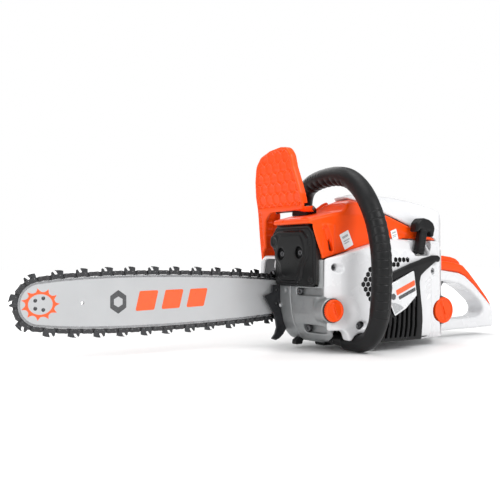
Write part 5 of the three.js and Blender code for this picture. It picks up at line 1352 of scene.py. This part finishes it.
depth = (f.x - GPX) - front  # 0 on the front skin, growing backwards
# hexagon net: a raised rib pattern inside a plain rim
yy = np.broadcast_to(f.ax[1][:, None], (len(f.ax[1]), len(f.ax[2])))
zz = np.broadcast_to(f.ax[2][None, :], (len(f.ax[1]), len(f.ax[2])))
cell = 17.2


def hex_edge(u, v, size):
    """Distance to the nearest edge of a honeycomb with that width across flats."""
    a, b = size, size * math.sqrt(3)
    out = None
    for ou, ov in ((0, 0), (a / 2, b / 2)):
        du = (u - ou + a / 2) % a - a / 2
        dv = (v - ov + b / 2) % b - b / 2
        q = np.abs(du)
        w = np.abs(dv) * 0.8660254 + q * 0.5
        m_ = np.maximum(q, w)
        out = m_ if out is None else np.minimum(out, m_)
    return size / 2 - out


he = hex_edge(yy - 3.0, zz - GPZ, cell)[None, :, :].astype(np.float32)
field_in = plate_d + 4.2  # negative where the net shows, inside the rim
pocket = np.maximum(np.maximum(field_in, 0.95 - he), depth - 2.3)
pocket = np.maximum(pocket, GPZ + 3.5 - f.z)
d = rmax(rmax(plate_d, depth - thick, 0.9), -depth, 1.3)
arm_cell = np.maximum(np.abs((f.z - (GPZ - 60)) % 10.4 - 5.2) - 4.3, np.abs(f.y - 73.2) - 3.6)
arm_cell = np.maximum(np.maximum(arm_cell, depth - 1.6), f.slab("z", GPZ - 52, GPZ + 1))
d = rmax(d, -np.minimum(pocket, arm_cell), 0.4)
# a flange round the back of the rim stiffens the plate
rim = np.maximum(np.maximum(plate_d, -plate_d - 2.8), np.maximum(depth - thick - 6.5, thick - 0.5 - depth))
rim = np.maximum(rim, f.x - (GPX + 6))
rim = np.maximum(rim, np.where(f.y > 45, GPZ - 4, GPZ + 6) - f.z)
d = rmin(d, rim, 1.2)
arm_l = f.prism("y", rounded([[GPX - 33.2, GPZ - 3], [GPX - 33.2, GPZ + 6], [GPX - 16, GPZ + 3], [GPX + 2, GPZ + 4.5], [GPX + 5, GPZ], [GPX + 2, GPZ - 4.5], [GPX - 16, GPZ - 5]], [0, 2, 6, 5, 5, 5, 6]), -18, -12.6, 1.0)
CHEEK = rounded([[GPX - 33.2, GPZ + 4], [GPX - 30, GPZ - 40], [GPX - 26, GPZ - 78], [GPX - 8, GPZ - 79], [GPX, GPZ - 70], [GPX + 4, GPZ - 40], [GPX + 6.5, GPZ - 5], [GPX + 4, GPZ + 4], [GPX, GPZ + 5.8], [GPX - 16, GPZ + 6]], [2, 4, 2, 6, 8, 12, 5, 3, 3, 6])
arm_r = f.prism("y", CHEEK, 74, 79, 1.2)
# the cheek is cored with a grid of shallow squares
ch_in = f.outline("y", CHEEK) + 3.4
gx = np.abs((f.x - (GPX - 29)) % 9.6 - 4.8)
gz = np.abs((f.z - (GPZ - 76)) % 9.6 - 4.8)
core = np.maximum(np.maximum(ch_in, np.maximum(gx, gz) - 3.9), np.maximum(f.y - 75.3, f.z - (GPZ - 12)))
arm_r = rmax(arm_r, -core, 0.4)
foot = f.prism("x", rounded([[-33, GPZ - 3], [77, GPZ - 3], [77, GPZ + 2], [-33, GPZ + 2]], 1), GPX - 33.6, GPX - 26, 0.8)
d = rmin(d, np.minimum(arm_l, arm_r), 1.0)
d = rmin(d, foot, 0.8)
shelf = f.prism("y", rounded([[GPX - 33.6, GPZ - 3], [GPX - 33.6, GPZ + 3], [GPX - 13, GPZ + 3.6], [GPX - 12, GPZ - 0.4]], [1, 1, 1.5, 1.5]), 35, 78, 0.8)
d = rmin(d, shelf, 1.0)
d = np.maximum(d, -f.rod("y", 3.1, -20, 90, GPX, GPZ))
put(from_field("chain_brake_guard", f, d, M["orange"]), "hand_guard", "hand_guard")

f = Field((19, -13, 192), (41, 25, 208.5), 0.6)
d = rmax(f.outline("y", [[20, 193.0], [40, 197.0], [39.5, 203], [34, 207.5], [26, 207.5], [21, 203]]), f.slab("y", -12, 24), 1.4)
d = rmax(d, -f.box(24.5, -4, 199.5, 36.5, 16, 212, 1.0), 0.6)
d = np.maximum(d, -f.rod("y", 3.1, -20, 40, GPX, GPZ))
put(from_field("guard_pivot_bracket", f, d, M["black"]), "root", "guard_bracket")
ob = lathe("guard_pivot_pin", [(0, -17.8), (2.3, -17.8), (2.8, -17.3), (2.8, 78.2), (2.3, 78.8), (0, 78.8)], "y", (GPX, 0, GPZ), M["dark_steel"], 32)
put(ob, "root", "guard_pin")

# ---------------------------------------------------------------- silencer cover
f = Field((-10, -67, 91), (10, 39, 178), 0.7)
GF = rounded([[28, 91.8], [28, 128], [29.5, 138], [36, 146], [38, 156], [35, 166], [25, 177], [-52, 177], [-62, 168], [-66, 155], [-66, 97], [-61, 91.8]], [3, 8, 8, 8, 8, 8, 8, 8, 9, 9, 5, 5])
gf = f.outline("x", GF)
d = rmax(gf, f.slab("x", -7.2, 9), 2.6)
# raised shield inside a stepped border; its far side runs out into a diagonal crease
SHIELD = [[29, 162], [20, 169], [-40, 168.5], [-51, 158], [-53.5, 146], [-51, 132], [-40, 118], [-36, 104], [-30, 99], [9, 99], [14, 104], [15, 118], [24, 126], [28, 134], [24, 146]]
shield = rmax(f.outline("x", rounded(SHIELD, 7)), f.slab("x", -9.6, 0), 1.6)
d = rmin(d, shield, 1.2)
plateau = np.sqrt((f.y + 12) ** 2 + ((f.z - 137) * 0.95) ** 2) - 34
plateau = rmax(np.maximum(plateau, f.outline("x", rounded(SHIELD, 7)) + 5), f.slab("x", -10.3, 0), 1.4)
d = rmin(d, plateau, 0.8)
boss = rmax(np.sqrt((f.y - 27) ** 2 + (f.z - 155) ** 2) - 10.5, f.slab("x", -10.2, 0), 2.0)
d = rmin(d, boss, 1.0)
d = rmax(d, -rmax(np.sqrt((f.y - 27) ** 2 + (f.z - 155) ** 2) - 5.6, f.slab("x", -14, -9.0), 0.5), 0.5)
for cy, cz in ((-56.5, 100.8), (19, 99.5)):
    knob = rmax(np.sqrt((f.y - cy) ** 2 + (f.z - cz) ** 2) - 3.9, f.slab("x", -8.9, 0), 0.8)
    d = rmin(d, knob, 0.6)
    d = rmax(d, -f.rod("x", 1.8, -12, -7.4, cy, cz, 0.3), 0.3)
groove = rmax(np.abs(f.outline("x", rounded([[24, 95], [25, 128], [27, 140], [33, 148], [34, 156], [31, 164], [23, 173.5], [-51, 173.5], [-59, 166], [-62.6, 154], [-62.6, 99], [-58, 95]], 8))) - 0.7, f.slab("x", -9, -6.3), 0.2)
d = rmax(d, -groove, 0.3)
for u, v in ((10, 137), (-33, 138.5)):
    well = rmax(np.sqrt((f.y - u) ** 2 + (f.z - v) ** 2) - 8.6, f.slab("x", -14, -4.6), 0.8)
    d = rmax(d, -well, 1.4)
    d = np.maximum(d, -f.rod("x", 3.2, -20, 0, u, v))
cav = [[26.5, 93], [26.5, 172.5], [-54.2, 172.5], [-62.5, 164.4], [-62.5, 93]]
d = np.maximum(d, -f.prism("x", cav, -3, 20))
for b_ in ((-2, -70, 60, 30, -64, 130.5), (-3.2, -90, 80, 40, 90, 93.2), (-2.5, 26, 80, 40, 60, 184)):
    d = np.maximum(d, -f.box(*b_))
d = rmax(d, -f.box(-3.4, -72, 85, 30, -60.5, 166), 0.8)
put(from_field("silencer_heat_shield", f, d, M["silencer"]), "root", "silencer_cover")
# a dark baffle closes the gap below the top cover's lip
ob = extruded("silencer_baffle", rounded([[-54, 170], [35, 170], [35, 178], [30, 182.5], [-50, 182.5]], [1, 2, 3, 4, 4]), "x", 1.0, 3.4, M["silencer"], bevel=0.6, segments=2)
put(ob, "root", ())

# ---------------------------------------------------------------- crankcase
FRONT = [[0, 89], [0.5, 70], [3, 52], [7, 37], [13, 24], [21, 15], [32, 10]]
FRONT_S = rounded(FRONT[::-1] + [[50, 89], [50, 10]], [4, 20, 24, 24, 20, 10, 1, 0, 0])
WALL = rounded([[49.99, 10], [196, 10], [196, 40], [150, 46], [140, 112], [49.99, 112]], [0, 2, 2, 12, 6, 2])
TANK_IN = rounded([[14, 76], [15, 55], [24, 37], [37, 22], [44, 20], [44, 82], [14, 82]], 3)

f = Field((-6, -79, 10), (196, 0, 129), 1.0)
d = np.minimum(f.prism("y", FRONT_S, -69, -0.15), f.prism("y", WALL, -34, -0.15))
d = np.minimum(d, f.prism("y", [(0, 88), (8, 88), (8, 129), (0, 129)], -70, -60.5))
d = np.minimum(d, f.prism("y", [(0, 88.9), (50.1, 88.9), (50.1, 91.5), (0, 91.5)], -69, -0.15))
# the corner beside the starter cover is bevelled
edge_x = np.interp(f.ax[2], [10, 15, 24, 37, 52, 70, 89, 130], [32, 21, 13, 7, 3, 0.5, 0, 0])[None, None, :].astype(np.float32)
bev_ = (edge_x - f.x) * 0.84 - (f.y + 58.0) * 0.54
d = rmax(d, bev_, 1.2)
# the front swells out into the oil filler's boss
filler = np.sqrt((f.x - OIL[0]) ** 2 + (f.z - OIL[1]) ** 2)
swell = np.maximum(rmax(filler - 17.4, f.slab("y", -78.4, -56), 1.5), f.x - 22)
d = rmin(d, swell, 4.0)
d = np.maximum(d, -f.rod("y", 11.4, -80, -74, OIL[0], OIL[1]))
# cut away under the starter side for the front handle's lower end
d = rmax(d, -f.prism("y", rounded([[23.5, 8], [23.5, 27], [27, 32], [58, 32], [58, 8]], [3, 5, 5, 0, 0]), -90, -34), 1.2)
d = np.maximum(d, -f.box(-5, -60.6, 91.6, 60, 2, 140))
d = np.maximum(d, -f.rod("y", 35, -17, 1, *CRANK))
d = np.maximum(d, -f.rod("y", 8.4, -40, 1, *CRANK))
d = np.maximum(d, -f.prism("y", TANK_IN, -62, -6))
d = np.maximum(d, -f.rod("y", 11.2, -80, -69.0, OIL[0], OIL[1]))
d = np.maximum(d, -f.rod("y", 6.0, -80, -60, OIL[0] + 6.0, OIL[1]))
d = rmax(d, -f.prism("x", rounded([[-70, 78.2], [-14.4, 78.2], [-14.4, 88.6], [-70, 88.6]], [3.4, 5.0, 5.0, 3.4]), -1, 6.5), 0.7)
d = rmax(d, -f.prism("x", rounded([[-64.5, 25.2], [-19.2, 25.2], [-19.2, 37.0], [-64.5, 37.0]], 5.6), -1, 19.5), 0.5)
d = np.maximum(d, -f.prism("y", [(64, 100), (116, 100), (116, 120), (64, 120)], -32, 1))
d = np.maximum(d, -f.rod("y", 44.8, -70, -34.2, *CRANK))
d = np.maximum(d, -channel(f))
put(from_field("crankcase_left_casting", f, d, M["casting"]), "root", "crankcase_starter_half")

f = Field((0, 0, 10), (196, 46, 149), 1.0)
d = np.minimum(f.prism("y", FRONT_S, 0.15, 31), f.prism("y", WALL, 0.15, 31))
d = np.minimum(d, f.prism("y", [(0, 88.9), (50.1, 88.9), (50.1, 91.5), (0, 91.5)], 0.15, 31))
d = np.minimum(d, f.prism("y", [(60, 107), (90, 107), (90, 149), (60, 149)], 29, 37, 1.2))
d = rmax(d, (edge_x[:, :, :1] * 0 + np.interp(f.ax[2], [10, 15, 24, 37, 52, 70, 89, 150], [32, 21, 13, 7, 3, 0.5, 0, 0])[None, None, :].astype(np.float32) - f.x) * 0.7 + (f.y - 29.4) * 0.7, 0.8)
d = np.minimum(d, np.minimum(f.rod("y", 3.9, 30, 46, 22, BZ, 0.5), f.rod("y", 3.9, 30, 46, 46, BZ, 0.5)))
d = np.maximum(d, -f.rod("y", 35, -1, 17, *CRANK))
d = np.maximum(d, -f.rod("y", 8.4, -1, 40, *CRANK))
d = np.maximum(d, -f.prism("y", TANK_IN, -1, 25))
d = np.maximum(d, -f.prism("y", [(64, 100), (116, 100), (116, 120), (64, 120)], -1, 32))
d = np.maximum(d, -f.box(110, 22, 50, 134, 32, 74))
d = rmax(d, -f.rod("x", 3.0, -1, 1.6, 10.5, 84, 0.3), 0.4)
put(from_field("crankcase_right_casting", f, d, M["casting"]), "root", "crankcase_clutch_half")

# ---------------------------------------------------------------- stop switch, choke
fz = Field((208.5, 55, 119), (219.5, 60.6, 137), 0.45)
d = rmax(fz.outline("x", rounded([[55.5, 119.5], [58, 119.5], [60.1, 128], [58.3, 136.5], [55.5, 136.5]], [0.5, 1.5, 2, 1.5, 0.5])), fz.slab("x", 209, 219), 1.0)
for k in range(3):
    d = rmax(d, -fz.capsule((206, 59.4 - k * 0.3, 131.2 + k * 1.9), (222, 59.4 - k * 0.3, 131.2 + k * 1.9), 0.55), 0.2)
put(from_field("stop_rocker", fz, d, M["orange"]), "stop_switch", "stop_switch")
ob = lathe("choke_pull", [(0, 42.0), (3, 42.0), (3, 54.4), (5.6, 54.8), (7.3, 55.6), (7.5, 57.0), (6.9, 58.3), (7.3, 60.2), (6.6, 61.6), (5.0, 62.0), (0, 61.7)], "y", (236, 0, 128), M["black"], 48)
put(ob, "choke_knob", "choke_knob")

# ---------------------------------------------------------------- starter grip and cord
PV = np.array([PULL[0], 0, PULL[2]])
SV = np.array([PULL[2], 0, -PULL[0]])
f = Field((150, -89, 136), (216, -71, 200), 0.7)
wz = (f.x - PULL_AT[0]) * PV[0] + (f.z - PULL_AT[2]) * PV[2]
wx = (f.x - PULL_AT[0]) * SV[0] + (f.z - PULL_AT[2]) * SV[2]
wy = f.y - PULL_AT[1]


def local_poly(pts):
    """Distance to an outline in the grip's own plane."""
    n = len(pts)
    best, ins = None, None
    for i in range(n):
        (x0, y0), (x1, y1) = pts[i], pts[(i + 1) % n]
        dx, dy = x1 - x0, y1 - y0
        l2 = dx * dx + dy * dy
        if l2 < 1e-9:
            continue
        t = np.clip(((wx - x0) * dx + (wz - y0) * dy) / l2, 0, 1)
        q = (wx - x0 - t * dx) ** 2 + (wz - y0 - t * dy) ** 2
        best = q if best is None else np.minimum(best, q)
        if y0 != y1:
            cr = ((y0 > wz) != (y1 > wz)) & (wx < (x1 - x0) * (wz - y0) / (y1 - y0) + x0)
            ins = cr if ins is None else ins ^ cr
    q = np.sqrt(best)
    return np.where(ins, -q, q)


stem = rmax(local_poly(rounded([[-6.6, 0.6], [6.6, 0.6], [7.4, 36], [-7.4, 36]], 2)), np.abs(wy) - (6.4 - np.clip(wz * 0.02, 0, 0.8)), 2.6)
stem = np.maximum(stem, np.sqrt((wx / 1.22) ** 2 + (wy / 1.05) ** 2) - 6.9)
cross = rmax(local_poly(rounded([[-18.5, 30.5], [-14, 31], [-9.5, 37], [-7, 36], [7, 36], [9.5, 37], [14, 31], [18.5, 30.5], [19.4, 44], [14, 52], [5, 54.6], [-5, 54.6], [-14, 52], [-19.4, 44]], [4, 2, 3, 2, 2, 3, 2, 4, 6, 8, 6, 6, 8, 6])), np.abs(wy) - 8.0, 4.0)
# moulded-in lightening pockets behind the crossbar
pk = rmax(np.abs(np.abs(wx) - 11.0) - 3.0, np.maximum(np.abs(wz - 41.5) - 3.6, 3.6 - wy), 1.2)
d = rmin(stem, rmax(cross, -pk, 0.8), 2.2)
for k in range(5):
    rw = np.maximum(np.abs(wz - (9 + 4.4 * k)) - 0.7, np.abs(wx) - 4.6)
    d = rmax(d, -np.maximum(rw, 5.5 - np.abs(wy) - 0.0), 0.5)
d = np.maximum(d, -np.maximum(np.sqrt(wx**2 + wy**2) - 2.3, np.abs(wz - 6) - 8))
put(from_field("starter_grip", f, d, M["black"]), "starter_handle", "starter_handle")

A = PULL_AT + np.array([-PV[0], 0, -PV[2]]) * 17.0
B = PULL_AT + PV * 13.6
rope_pts = [A + (B - A) * t for t in np.linspace(0, 1, 240)]
rope = tube("starter_cord", rope_pts, lambda s, a: 1.82 + 0.1 * math.sin(5 * a + s * 2.2), M["rope"], n=20)
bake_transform(rope)
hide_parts("starter_rope")

# ---------------------------------------------------------------- floor and light
z0 = CAD_BOX[0][2]
bpy.ops.mesh.primitive_plane_add(size=14, location=(0, 0, z0 - 0.0006))
floor = bpy.context.object
floor.name = "floor"
fm = surface("pale_floor", (0.9, 0.9, 0.9), 0.55, tone=0.01, tone_size=0.5, grain=0.002, bump=0.02)
# the floor glows softly away from the saw, as a lit studio sweep does
fn, fl = fm.node_tree.nodes, fm.node_tree.links
ftc = fn.new("ShaderNodeTexCoord")
flen = fn.new("ShaderNodeVectorMath")
flen.operation = "LENGTH"
fl.new(ftc.outputs["Object"], flen.inputs[0])
fmr = fn.new("ShaderNodeMapRange")
fmr.inputs["From Min"].default_value = 0.35
fmr.inputs["From Max"].default_value = 1.6
fmr.inputs["To Max"].default_value = 0.75
fl.new(flen.outputs["Value"], fmr.inputs["Value"])
fn["Principled BSDF"].inputs["Emission Color"].default_value = (1, 1, 1, 1)
fl.new(fmr.outputs["Result"], fn["Principled BSDF"].inputs["Emission Strength"])
floor.data.materials.append(fm)
world = bpy.data.worlds.new("studio")
bpy.context.scene.world = world
world.use_nodes = True
wn, wl = world.node_tree.nodes, world.node_tree.links
soft = wn["Background"]
soft.inputs["Color"].default_value = (1, 1, 1, 1)
soft.inputs["Strength"].default_value = 0.5
plain = wn.new("ShaderNodeBackground")
plain.inputs["Color"].default_value = (1, 1, 1, 1)
plain.inputs["Strength"].default_value = 1.0
path = wn.new("ShaderNodeLightPath")
which = wn.new("ShaderNodeMixShader")
wl.new(path.outputs["Is Camera Ray"], which.inputs["Fac"])
wl.new(soft.outputs["Background"], which.inputs[1])
wl.new(plain.outputs["Background"], which.inputs[2])
wl.new(which.outputs["Shader"], wn["World Output"].inputs["Surface"])


def area(name, loc, target, size, size_y, power):
    ld = bpy.data.lights.new(name, "AREA")
    ld.shape = "RECTANGLE"
    ld.size, ld.size_y = size, size_y
    ld.energy = power
    ob = bpy.data.objects.new(name, ld)
    bpy.context.scene.collection.objects.link(ob)
    ob.location = loc
    ob.rotation_euler = (Vector(target) - Vector(loc)).to_track_quat("-Z", "Y").to_euler()
    return ob


area("key", (0.55, -1.5, 1.35), (0, 0, 0.12), 0.9, 0.7, 22)
area("top", (-0.1, 0.1, 1.9), (0, 0, 0.1), 1.6, 1.2, 15)
area("left", (-1.6, -0.5, 0.8), (0, 0, 0.12), 0.6, 0.9, 9)
area("back", (0.4, 1.7, 1.1), (0, 0, 0.12), 1.4, 1.0, 10)
